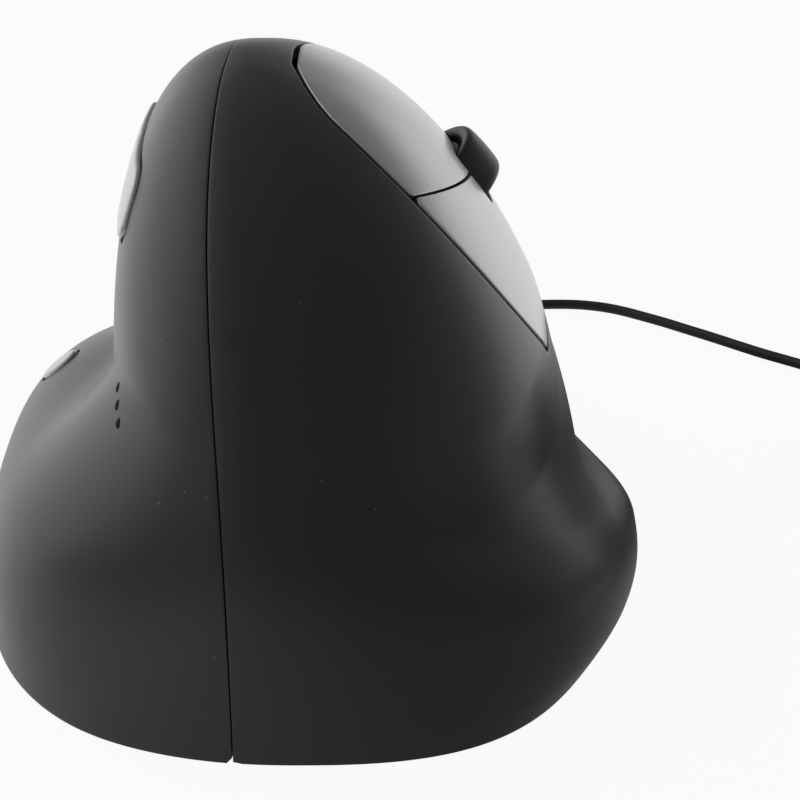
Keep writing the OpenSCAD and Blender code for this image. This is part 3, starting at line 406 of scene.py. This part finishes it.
tie_points, tie_faces = [], []
for x, z, bend, first in tie_corners:
    for k in range(bend_steps):
        c, s = math.cos(math.radians(first + 15*k)), math.sin(math.radians(first + 15*k))
        for up, side in tie_profile:
            r, w = x + c*(bend + tie_t*up), side*tie_w/2
            tie_points.append((coil_mid[0] + r*math.cos(tie_turn) - w*math.sin(tie_turn),
                               coil_mid[1] + r*math.sin(tie_turn) + w*math.cos(tie_turn),
                               z + s*(bend + tie_t*up)))
n = len(tie_profile)
for a in range(0, len(tie_points), n):
    b = (a + n) % len(tie_points)
    tie_faces += [(a + k, b + k, b + (k + 1) % n, a + (k + 1) % n) for k in range(n)]
strap = closed_mesh("strap", tie_points, tie_faces)
tie = add_piece("strap", strap, weave, "case", "tie_black", "cord_tie")

# Plug.
# A flat moulded grip with ridges for the fingers, on a folded and plated sheet steel shell with
# a white tongue inside.
grip_rows = [(0, 1.75, 1.75), (0.3, 1.85, 1.85), (5.6, 2.5, 2.5), (6.0, 3.2, 2.9), (6.4, 5.4, 3.3),
             (7.2, 6.7, 3.6), (8.6, 7.3, 3.75), (11, 7.5, 3.8), (22.6, 7.5, 3.8),
             (23.5, 7.3, 3.65), (24, 6.7, 3.2)]
grip_long, grip_half, neck_long = 24, 3.8, 5.9
grip_sides = 56
ridge_at, ridge_half = (12, 13.6, 15.2, 16.8, 18.4), 3.6
ridge_section = [(-0.45, -0.3), (-0.28, 0.08), (0, 0.18), (0.28, 0.08), (0.45, -0.3)]
ridge_faces = [(k, k + 1, k + 6, k + 5) for k in range(4)]
ridge_faces += [(4, 0, 5, 9), (4, 3, 2, 1, 0), (5, 6, 7, 8, 9)]
grip_points = [(plug_x, plug_y, plug_z)]
for back, w, h in grip_rows:
    power = 2/(2 if back < neck_long else 4.5)
    for k in range(grip_sides):
        c, s = math.cos(2*math.pi*k/grip_sides), math.sin(2*math.pi*k/grip_sides)
        grip_points.append((plug_x + w*math.copysign(abs(c)**power, c), plug_y - back,
                            plug_z + h*math.copysign(abs(s)**power, s)))
grip_points.append((plug_x, plug_y - grip_long, plug_z))
grip_faces = capped(len(grip_rows), grip_sides)


def moulded(name, dark, light, rough, grain=2500.0, depth=0.00002, specular=0.4):
    """Plain moulded plastic: a fine grain, and a slow change of shade and gloss."""
    finish = Finish(name)
    cloud = finish.noise(60, 3)
    finish.feed(finish.shader, {
        "Base Color": finish.mixed(cloud, (*dark, 1), (*light, 1)), "Roughness": rough - 0.08 + 0.16*cloud,
        "Specular IOR Level": specular, "Normal": finish.bumped(finish.noise(grain), 0.25, depth)})
    return finish


black_plastic = moulded("black_plastic", (0.012, 0.012, 0.013), (0.02, 0.02, 0.021), 0.5)
ridge_points = [(x, y, z) for x in (-ridge_half, ridge_half) for y, z in ridge_section]
ridge_places = [(plug_x, plug_y - y, plug_z + grip_half*e) for y in ridge_at for e in (1, -1)]
ridge_sizes = [(1, 1, e) for y in ridge_at for e in (1, -1)]
ridges = repeated("grip_ridges", ridge_places, ridge_sizes,
                  closed_mesh("grip_ridge", ridge_points, ridge_faces), black_plastic)
grip = add_piece("plug_body", joined("plug_body", closed_mesh("grip", grip_points, grip_faces), ridges),
                 black_plastic, "case", "base_black", "plug_grip")


def dressed(finish, *names):
    """Gives carried-over solids their finish."""
    for name in names:
        slots = nodes[name].data.materials
        slots.clear()
        slots.append(finish.material)


nickel = Finish("nickel_plate")
stretched = nickel.node("ShaderNodeMapping", {}, {"Vector": nickel.spot(), "Scale": (3000, 120, 3000)})
brushed = nickel.noise(1.0, 2.0, stretched)
nickel.feed(nickel.shader, {
    "Base Color": nickel.mixed(brushed, (0.52, 0.52, 0.53, 1), (0.68, 0.68, 0.69, 1)),
    "Metallic": 1.0, "Roughness": 0.2 + 0.16*brushed})
dressed(nickel, "plug_shell")
white_nylon = moulded("white_nylon", (0.62, 0.62, 0.58), (0.72, 0.72, 0.68), 0.45)
dressed(white_nylon, "plug_tongue")

# Palm shell.
# The moulded right half of the body: the domed ridge, the palm end, the frame round the finger
# buttons and the low lip under them, all in soft black rubber paint.
body_h = 72
apex = np.array([-7.2, 2, body_h])
corner_power = 2.5
right_side, left_side = (39.3, 1.85, 1.75), (-26.3, 6.2, 2)
nose_side, palm_side = (50, 4, 2), (-55, 3, 1.7)
foot_right, foot_left, foot_end = 45.4, 45.2, 55
flare_height = [(0, 10), (40, 6), (95, 16), (150, 30), (200, 33), (250, 42), (300, 26), (360, 10)]
flare_soft = [(0, 0), (60, 0), (110, 1), (235, 1), (280, 0.8), (315, 0), (360, 0)]
flare_reach = [(0, 1), (38, 0.45), (80, 1), (360, 1)]
fillet_out, fillet_share = 0.36, 0.45
waist_in, waist_heights = 1.1, [4, 12, 28, 37]


def between(angle, knots):
    """The knots round the body, the one before an angle, and how far it is from there to the next."""
    at, value = np.array(knots, float).T
    angle = np.mod(angle, 360)
    k = np.clip(np.searchsorted(at, angle, "right") - 1, 0, len(at) - 2)
    return at, value, k, (angle - at[k])/(at[k + 1] - at[k])


def eased(angle, knots):
    """A value that eases from knot to knot round the body."""
    at, value, k, t = between(angle, knots)
    return value[k] + (value[k + 1] - value[k])*(1 - np.cos(np.pi*t))/2


def flowing(angle, knots):
    """A value that runs through knots round the body without steps."""
    at, value, k, t = between(angle, knots)
    slope = np.gradient(value, at)
    slope[[0, -1]] = (value[1] - value[-2])/(at[1] + 360 - at[-2])
    span = at[k + 1] - at[k]
    return (value[k]*(2*t**3 - 3*t**2 + 1) + slope[k]*span*(t**3 - 2*t**2 + t)
            + value[k + 1]*(3*t**2 - 2*t**3) + slope[k + 1]*span*(t**3 - t**2))


def skin(angle, z):
    """The outside of the body at angles in plan, in degrees, and heights. Each of the four sides has
    its reach at the foot and two powers that curve it to the apex; the flare stands round the foot."""
    angle, z = np.broadcast_arrays(np.asarray(angle, float), np.asarray(z, float))
    c, s, up = np.cos(np.radians(angle)), np.sin(np.radians(angle)), np.clip(z/body_h, 0, 1)

    def reach(side, top):
        foot, low, high = side
        return top + (foot - top)*np.clip(1 - up**low, 0, 1)**(1/high)

    def oval(ax, ay):
        return ((np.abs(c)/ax)**corner_power + (np.abs(s)/ay)**corner_power)**(-1/corner_power)

    mx, my = apex[0]*up, apex[1]*up
    ex = np.where(c >= 0, reach(right_side, apex[0]) - mx, mx - reach(left_side, apex[0]))
    ey = np.where(s >= 0, reach(nose_side, apex[1]) - my, my - reach(palm_side, apex[1]))
    wall_foot = oval(np.where(c >= 0, right_side[0], -left_side[0]),
                     np.where(s >= 0, nose_side[0], -palm_side[0]))
    flare = (oval(np.where(c >= 0, foot_right, foot_left), foot_end) - wall_foot)*eased(angle, flare_reach)
    share = z/flowing(angle, flare_height)
    t = np.clip(share, 0, 1)
    lip = np.where(t < 0.5, 1 - 3*(0.5 - t)**2, np.clip(1 - np.clip(2*t - 1, 0, 1)**2.2, 0, 1)**1.15)
    lip = lip + fillet_out*np.clip(1 - np.abs(share - 1)/fillet_share, 0, 1)**2
    rest = (1 - t**4)**1.4
    soft = eased(angle, flare_soft)
    waist = waist_in*np.clip(c, 0, 1)*np.interp(z, waist_heights, [0, 1, 1, 0])
    r = oval(np.maximum(ex, 0.001), np.maximum(ey, 0.001)) + flare*(lip*(1 - soft) + rest*soft) - waist
    return np.stack([mx + r*c, my + r*s, z], -1)


def steps_on(f, angle, z, turn=0.05, rise=0.02):
    """How a function of angle and height changes with both."""
    high, low = np.minimum(z + rise, body_h - 0.001), np.maximum(z - rise, 0)
    span = high - low
    by_a, by_z = f(angle + turn, z) - f(angle - turn, z), f(angle, high) - f(angle, low)
    return by_a/(2*turn), by_z/(span[..., None] if by_z.ndim > span.ndim else span)


def outward(angle, z):
    sa, sz = steps_on(skin, angle, z)
    n = np.cross(sa, sz)
    return n/np.linalg.norm(n, axis=-1, keepdims=True)


def climb_of(f, angle, z):
    """The step in angle and height over which f rises by one, by the shortest way on the skin,
    and how fast f rises on that way."""
    sa, sz = steps_on(skin, angle, z)
    fa, fz = steps_on(f, angle, z)
    e, m, g = (sa*sa).sum(-1), (sa*sz).sum(-1), (sz*sz).sum(-1)
    da, dz = g*fa - m*fz, e*fz - m*fa
    size = np.maximum(fa*da + fz*dz, 1e-12)
    return da/size, dz/size, np.sqrt(size/np.maximum(e*g - m*m, 1e-12))


def over_skin(line):
    """Turns a function that is zero on a line into the distance from that line over the skin."""
    def distance(angle, z):
        return line(angle, z)/np.maximum(climb_of(line, angle, z)[2], 1e-6)
    return distance


def within(first, second, radius):
    """The distance inside two edges that meet in a rounded corner."""
    near = (first < radius) & (second < radius)
    return np.where(near, radius - np.hypot(radius - first, radius - second), np.minimum(first, second))


def signed(angle):
    return np.mod(angle + 180, 360) - 180


# Rows of points up the skin, close together wherever some side of the body lies flat.
skin_low, skin_high, rows_high, row_step = 0.3, 71.95, 71.9, 0.95
tops = np.linspace(skin_low, rows_high, 4000)
pace = [np.linalg.norm(steps_on(skin, np.full(len(tops), a), tops)[1], axis=-1) for a in range(0, 360, 8)]
walk = np.concatenate([[0], np.cumsum(np.max(pace, axis=0)[1:]*np.diff(tops))])
skin_rows = np.interp(np.linspace(0, walk[-1], int(walk[-1]/row_step)), walk, tops)


def cut_skin(keep, wall, edge, lift=0.0):
    """A wall cut out of the body's skin where keep, a distance from its outline, is positive.
    The outline is rounded over by edge, and lift raises the wall off the skin."""
    around = 360
    a, z = np.tile(np.arange(around, dtype=float), len(skin_rows)), np.repeat(skin_rows, around)
    d = keep(a, z) - edge
    p = skin(a, z).reshape(len(skin_rows), around, 3)
    cell = np.minimum(np.linalg.norm(np.roll(p, -1, 1) - p, axis=-1),
                      np.linalg.norm(np.gradient(p, axis=0), axis=-1)).ravel()

    def moved_to(a, z, level, stride=0.4):
        for _ in range(4):
            da, dz, _ = climb_of(keep, a, z)
            short = np.clip(level - keep(a, z), -stride, stride)
            a, z = a + da*short, np.clip(z + dz*short, skin_low, skin_high)
        return a, z

    near = np.abs(d) < 0.3*cell
    a[near], z[near] = moved_to(a[near], z[near], edge)
    d[near] = 0
    i, j = np.meshgrid(np.arange(around), np.arange(len(skin_rows) - 1))
    low, low_n = (j*around + i).ravel(), (j*around + (i + 1) % around).ravel()
    pole = len(a)
    top = pole - around
    ring = np.arange(around)
    tri = np.concatenate([np.column_stack([low, low_n, low_n + around]),
                          np.column_stack([low, low_n + around, low + around]),
                          np.column_stack([top + ring, top + (ring + 1) % around, np.full(around, pole)])])
    a, z, d = np.append(a, 0), np.append(z, skin_high), np.append(d, d[top])
    sign = np.sign(d)[tri]
    whole = tri[(sign.max(1) > 0) & (sign.min(1) >= 0)]
    a, z, d = list(a), list(z), list(d)
    parts, cuts = [], {}
    for t in tri[(sign.max(1) > 0) & (sign.min(1) < 0)]:
        outline = []
        for u, v in zip(t, np.roll(t, -1)):
            if d[u] >= 0:
                outline.append(u)
            if d[u]*d[v] < 0:
                key = (min(u, v), max(u, v))
                if key not in cuts:
                    share = d[u]/(d[u] - d[v])
                    cuts[key] = len(a)
                    a.append(a[u] + share*signed(a[v] - a[u]))
                    z.append(z[u] + share*(z[v] - z[u]))
                    d.append(0)
                outline.append(cuts[key])
        parts += [(outline[0], outline[k], outline[k + 1]) for k in range(1, len(outline) - 1)]
    a, z = np.array(a), np.array(z)
    new = np.arange(pole + 1, len(a))
    a[new], z[new] = moved_to(a[new], z[new], edge)
    faces = np.concatenate([whole, np.array(parts, int).reshape(-1, 3)])
    way = {(u, v) for f in faces for u, v in zip(f, np.roll(f, -1))}
    rim = [(u, v) for u, v in way if (v, u) not in way]
    rim_points = sorted({u for pair in rim for u in pair})
    place = {u: k for k, u in enumerate(rim_points)}
    ra, rz = a[rim_points], z[rim_points]
    depth = [np.zeros(len(a))]
    layers = [np.array(rim_points)]
    for bend in np.radians([22.5, 45, 67.5, 90]):
        ra, rz = moved_to(ra, rz, edge*(1 - math.sin(bend)))
        layers.append(np.arange(len(a), len(a) + len(ra)))
        a, z = np.append(a, ra), np.append(z, rz)
        depth.append(np.full(len(ra), edge*(1 - math.cos(bend))))
    total = len(a)
    last = layers[-1]
    rounded = [(lower[place[v]], lower[place[u]], upper[place[u]], upper[place[v]])
               for lower, upper in zip(layers, layers[1:]) for u, v in rim]
    side = [(last[place[v]], last[place[u]], last[place[u]] + total, last[place[v]] + total)
            for u, v in rim]
    point, normal = skin(a, z), outward(a, z)
    point[pole], normal[pole] = apex, (0, 0, 1)
    outside = point + normal*(lift - np.concatenate(depth))[:, None]
    inside = point + normal*(lift - wall)
    skin_faces = [tuple(f) for f in faces] + rounded
    everything = skin_faces + side + [tuple(v + total for v in reversed(f)) for f in skin_faces]
    used = np.unique(np.concatenate([np.ravel(f) for f in everything]))
    index = np.full(2*total, -1)
    index[used] = np.arange(len(used))
    return np.concatenate([outside, inside])[used], [[index[v] for v in f] for f in everything]


seam_w = 0.1
seam_y = [-60, -52, -34, -21.5, -6.6, 10, 50, 60]
seam_x = [-8.2, -8.7, -11.4, -12.2, -11.2, -10.4, -10.4, -10.4]
seam_fit = np.polyfit(seam_y, seam_x, 4)
rear_z = [32.25, 42, 50, 54.75, 64.23, 68.1]
rear_fit = np.polyfit(rear_z, [-11, -26.2, -35.5, -39.6, -48.1, -51.6], 3)
panel_rear, panel_front = -16, 72
panel_low, panel_drop = 33.984, 4
split_z, split_drop = 55.05, 0.118
ridge_x = -2.3
rim_z = 0.5
top_corner, front_corner, low_corner = 7, 2.4, 1.2
from_rear = over_skin(lambda a, z: signed(a) - np.polyval(rear_fit, z))
from_front = over_skin(lambda a, z: panel_front - signed(a))
from_low = over_skin(
    lambda a, z: z - panel_low + panel_drop*(signed(a) - panel_rear)/(panel_front - panel_rear))
from_split = over_skin(lambda a, z: z - split_z + split_drop*signed(a))
from_ridge = over_skin(lambda a, z: skin(a, z)[..., 0] - ridge_x)
from_rim = over_skin(lambda a, z: z - rim_z)


def seam_side(a, z):
    p = skin(a, z)
    return p[..., 0] - np.polyval(seam_fit, p[..., 1])


from_seam = over_skin(seam_side)


def in_panel(a, z, gap):
    """The distance inside the opening for the finger buttons, drawn in by a gap."""
    back = within(from_rear(a, z) - gap, from_ridge(a, z) - gap, top_corner - gap)
    ends = within(back, from_front(a, z) - gap, front_corner - gap)
    return within(ends, from_low(a, z) - gap, low_corner - 0.6*gap)


paint = Finish("soft_black_paint")
spot = paint.spot()
cloud = paint.noise(45, 4, spot)
black = paint.mixed(cloud, (0.0165, 0.0169, 0.0178, 1), (0.021, 0.0215, 0.0226, 1))
speck = paint.node("ShaderNodeTexVoronoi", {}, {"Vector": spot, "Scale": 400.0})
dust_size = paint.noise(95.0, 1.0, spot)*0.16 - 0.045
dust = paint.node("ShaderNodeMath", {"operation": "LESS_THAN"}, {0: speck, 1: dust_size})
paint.feed(paint.shader, {
    "Base Color": paint.mixed(dust*0.55, black, (0.2, 0.2, 0.2, 1)), "Roughness": 0.3 + 0.05*cloud,
    "Normal": paint.bumped(paint.noise(3200, 2, spot), 0.12, 0.00002)})
shell_wall, palm_edge = 2.0, 0.2
palm = cut_skin(lambda a, z: np.minimum.reduce([
    from_rim(a, z), from_seam(a, z) - seam_w/2, -in_panel(a, z, 0)]), shell_wall, palm_edge)
add_piece("palm_half", closed_mesh("palm_half", *palm), paint, "case", "case_black", "palm_shell")

# Thumb shell.
# The moulded left half with the upright thumb wall and the flared thumb rest, in the same paint,
# with openings for the thumb buttons and the speed button.
thumb_low, thumb_high, thumb_front, thumb_rear = 53.496, 62.496, 134.0, 228.0
thumb_corner, thumb_edge = 3.4, 0.14
speed_at, speed_r, speed_gap = (-37.0, 12.0), 2.5, 0.35
from_thumb_front = over_skin(lambda a, z: np.mod(a, 360) - thumb_front)
from_thumb_rear = over_skin(lambda a, z: thumb_rear - np.mod(a, 360))
from_thumb_low = over_skin(lambda a, z: z - thumb_low)
from_thumb_high = over_skin(lambda a, z: thumb_high - z)


def in_thumb_window(a, z, gap):
    ends = np.minimum(from_thumb_front(a, z), from_thumb_rear(a, z)) - gap
    return within(ends, np.minimum(from_thumb_low(a, z), from_thumb_high(a, z)) - gap, thumb_corner - gap)


def from_speed(a, z):
    p = skin(a, z)
    return np.hypot(p[..., 0] - speed_at[0], p[..., 1] - speed_at[1])


thumb = cut_skin(lambda a, z: np.minimum.reduce([
    from_rim(a, z), -from_seam(a, z) - seam_w/2, -in_thumb_window(a, z, 0),
    from_speed(a, z) - speed_r - speed_gap]), shell_wall, thumb_edge)
add_piece("thumb_half", closed_mesh("thumb_half", *thumb), paint, "case", "case_black", "thumb_shell")

# Finger buttons.
# Two bowed plates in satin silver lacquer that close the right slope, parted by a fine line and
# by the slot of the wheel. Each swings on a rod behind its rear edge.
tilt = math.radians(50)
down_slope = np.array([math.cos(tilt), 0, -math.sin(tilt)])
off_slope = np.array([math.sin(tilt), 0, math.cos(tilt)])
axle = np.array(next(j["pos_m"] for j in frame["joints"] if j["name"] == "wheel_spin"))*1000
slot_half, slot_rear, slot_front, slot_corner = 4.5, 9.1, 10.7, 1.6
panel_gap, split_half, split_corner = 0.8, 0.16, 0.5
plate_wall, plate_edge = 1.8, 0.22


def from_slot(a, z):
    d = skin(a, z) - axle
    ends = np.minimum(slot_rear + d[..., 1], slot_front - d[..., 1])
    return -within(slot_half - np.abs(d @ down_slope), ends, slot_corner)


silver = Finish("silver_lacquer")
spot = silver.spot()
flake = silver.node("ShaderNodeTexVoronoi", {}, {"Vector": spot, "Scale": 6000.0}, "Color")
shade = silver.noise(30, 3, spot)
lacquer = silver.mixed(shade, (0.45, 0.453, 0.46, 1), (0.51, 0.513, 0.52, 1))
silver.feed(silver.shader, {
    "Base Color": silver.mixed(0.12, lacquer, flake), "Metallic": 0.85, "Roughness": 0.27 + 0.08*shade,
    "Coat Weight": 0.35, "Coat Roughness": 0.12,
    "Normal": silver.bumped(silver.noise(4000, 2, spot), 0.05, 0.00001)})
for name, side in (("index", 1), ("middle", -1)):
    plate = cut_skin(lambda a, z: np.minimum(within(
        in_panel(a, z, panel_gap), side*from_split(a, z) - split_half, split_corner), from_slot(a, z)),
        plate_wall, plate_edge)
    add_piece(name + "_plate", closed_mesh(name + "_plate", *plate), silver,
              name + "_button", "button_silver", name + "_button")

# Thumb buttons and speed button.
# Three keys in the same silver: two long ones that stand a little out of the thumb wall, end to
# end, and a small round one on the thumb rest.
thumb_gap, thumb_split, key_corner = 0.5, 180.5, 0.8
key_wall, key_edge, key_lift = 3.2, 0.6, 0.6
speed_wall, speed_edge, speed_lift = 4.0, 0.5, 0.5
from_thumb_split = over_skin(lambda a, z: np.mod(a, 360) - thumb_split)
for name, side in (("forward", -1), ("back", 1)):
    key = cut_skin(lambda a, z: within(
        in_thumb_window(a, z, thumb_gap), side*from_thumb_split(a, z) - thumb_gap/2, key_corner),
        key_wall, key_edge, key_lift)
    add_piece(name + "_key", closed_mesh(name + "_key", *key), silver,
              name + "_button", "button_silver", name + "_button")
speed = cut_skin(lambda a, z: speed_r - from_speed(a, z), speed_wall, speed_edge, speed_lift)
add_piece("speed_key", closed_mesh("speed_key", *speed), silver,
          "speed_button", "button_silver", "speed_button")

# Indicator lights.
# Three small drops of smoked clear plastic in a row at the root of the thumb rest. They are the
# ends of light pipes from the board behind them.
light_places = [(238.5, 40.39), (240.8, 39.38), (243.0, 38.3)]
light_rings = [(1, -0.5), (1, 0.02), (0.9, 0.07), (0.6, 0.1)]
light_up, light_across, light_taper, degree_length = 0.5, 0.36, 0.55, 0.6
light_sides = 24
smoked = moulded("smoked_plastic", (0.002, 0.002, 0.002), (0.004, 0.004, 0.004), 0.6, specular=0.1)
light_points, light_faces = [], []
for light_angle, light_z in light_places:
    first = len(light_points)
    for size, rise in light_rings:
        for k in range(light_sides):
            c, s = math.cos(2*math.pi*k/light_sides), math.sin(2*math.pi*k/light_sides)
            a = light_angle + size*light_across*c*(1 - light_taper*s)/degree_length
            z = light_z + size*light_up*s
            light_points.append(skin(a, z) + rise*outward(np.array([a]), np.array([z]))[0])
    last = first + (len(light_rings) - 1)*light_sides
    for low in range(first, last, light_sides):
        for k in range(light_sides):
            m = (k + 1) % light_sides
            light_faces.append((low + k, low + m, low + light_sides + m, low + light_sides + k))
    light_faces.append([first + k for k in reversed(range(light_sides))])
    light_faces.append([last + k for k in range(light_sides)])
add_piece("lights", closed_mesh("lights", light_points, light_faces), smoked,
          "case", "window_dark", "indicator_windows")

# Scroll wheel.
# A black rubber tyre with a soft crown on a moulded hub, which turns in a cradle. Its axle lies
# down the slope.
tyre_profile = [(7.1, -2.65), (8.2, -3.2), (8.8, -3.46), (9.25, -3.5), (9.5, -3.42), (9.68, -3.25),
                (9.8, -3.0), (9.88, -2.6), (9.94, -1.9), (9.98, -1.0), (10.0, 0)]
tyre_profile += [(r, -h) for r, h in reversed(tyre_profile[:-1])]
tyre_sides = 144
tyre_points, tyre_faces = [], []
for r, h in tyre_profile:
    for k in range(tyre_sides):
        turn = 2*math.pi*k/tyre_sides
        spoke = off_slope*math.cos(turn) + np.array([0, 1, 0])*math.sin(turn)
        tyre_points.append(axle + down_slope*h + spoke*r)
for a in range(0, len(tyre_points), tyre_sides):
    b = (a + tyre_sides) % len(tyre_points)
    for k in range(tyre_sides):
        m = (k + 1) % tyre_sides
        tyre_faces.append((a + k, b + k, b + m, a + m))
tread = moulded("wheel_rubber", (0.012, 0.012, 0.012), (0.02, 0.02, 0.021), 0.4, 1800.0, 0.00003, 0.4)
add_piece("tyre", closed_mesh("tyre", tyre_points, tyre_faces), tread,
          "wheel", "wheel_rubber", "wheel_tyre")
grey_plastic = moulded("grey_plastic", (0.05, 0.05, 0.053), (0.07, 0.07, 0.073), 0.5)
dressed(grey_plastic, "wheel_hub", "wheel_cradle")

# Underside.
# A black moulded plate closes the case. It has slick white glide feet, and plated screws in
# recesses hold it.
dressed(black_plastic, "base_plate")
dressed(moulded("glide_sheet", (0.62, 0.62, 0.6), (0.7, 0.7, 0.68), 0.35), "glide_feet")
zinc = Finish("zinc_plate")
swirl = zinc.noise(1500, 3)
zinc.feed(zinc.shader, {"Base Color": zinc.mixed(swirl, (0.4, 0.4, 0.42, 1), (0.58, 0.58, 0.6, 1)),
                        "Metallic": 1.0, "Roughness": 0.28 + 0.2*swirl})
dressed(zinc, "base_screws", "frame_screws", "board_screws", "hinge_rod")

# Inner works.
# Boards, switches, sensor and the frame under the slope, each in the plastic, resin or glass that
# such pieces are made of.
dressed(grey_plastic, "button_frame")
board = Finish("green_board")
spot = board.spot()
tracks = board.node("ShaderNodeTexBrick", {}, {
    "Vector": spot, "Scale": 420.0, "Color1": (0, 0, 0, 1), "Color2": (0.3, 0.3, 0.3, 1),
    "Mortar": (1, 1, 1, 1), "Mortar Size": 0.012})
board.feed(board.shader, {
    "Base Color": board.mixed(tracks, (0.008, 0.07, 0.022, 1), (0.02, 0.14, 0.045, 1)),
    "Roughness": 0.3 + 0.1*board.noise(300, 2, spot), "Normal": board.bumped(tracks, 0.3, 0.00003)})
dressed(board, "button_board", "thumb_board", "indicator_board", "main_board")
dressed(moulded("chip_resin", (0.012, 0.012, 0.012), (0.022, 0.022, 0.022), 0.6, 4000.0),
        "button_switches", "wheel_switch", "thumb_switches", "speed_switch",
        "sensor_chip", "controller_chip", "encoder_receiver")
dressed(white_nylon, "index_plunger", "middle_plunger", "wheel_plunger", "forward_plunger", "back_plunger",
        "speed_plunger", "cord_socket")
clear = Finish("clear_plastic")
ripple = clear.noise(400)
clear.feed(clear.shader, {
    "Base Color": clear.mixed(ripple, (0.8, 0.84, 0.88, 1), (0.9, 0.93, 0.95, 1)),
    "Roughness": 0.05 + 0.06*ripple, "Transmission Weight": 0.85, "IOR": 1.49})
dressed(clear, "sensor_lens", "encoder_emitter")
dressed(moulded("red_resin", (0.4, 0.015, 0.012), (0.5, 0.03, 0.02), 0.18), "sensor_lamp")
ribbon = Finish("flat_cable")
wires = ribbon.node("ShaderNodeTexWave", {"bands_direction": "Y"},
                    {"Vector": ribbon.spot(), "Scale": 310.0})
ribbon.feed(ribbon.shader, {
    "Base Color": ribbon.mixed(wires, (0.16, 0.16, 0.17, 1), (0.32, 0.32, 0.33, 1)),
    "Roughness": 0.5, "Normal": ribbon.bumped(wires, 0.4, 0.0001)})
dressed(ribbon, "board_ribbon", "thumb_ribbon")
dressed(jacket, "cord_tail")
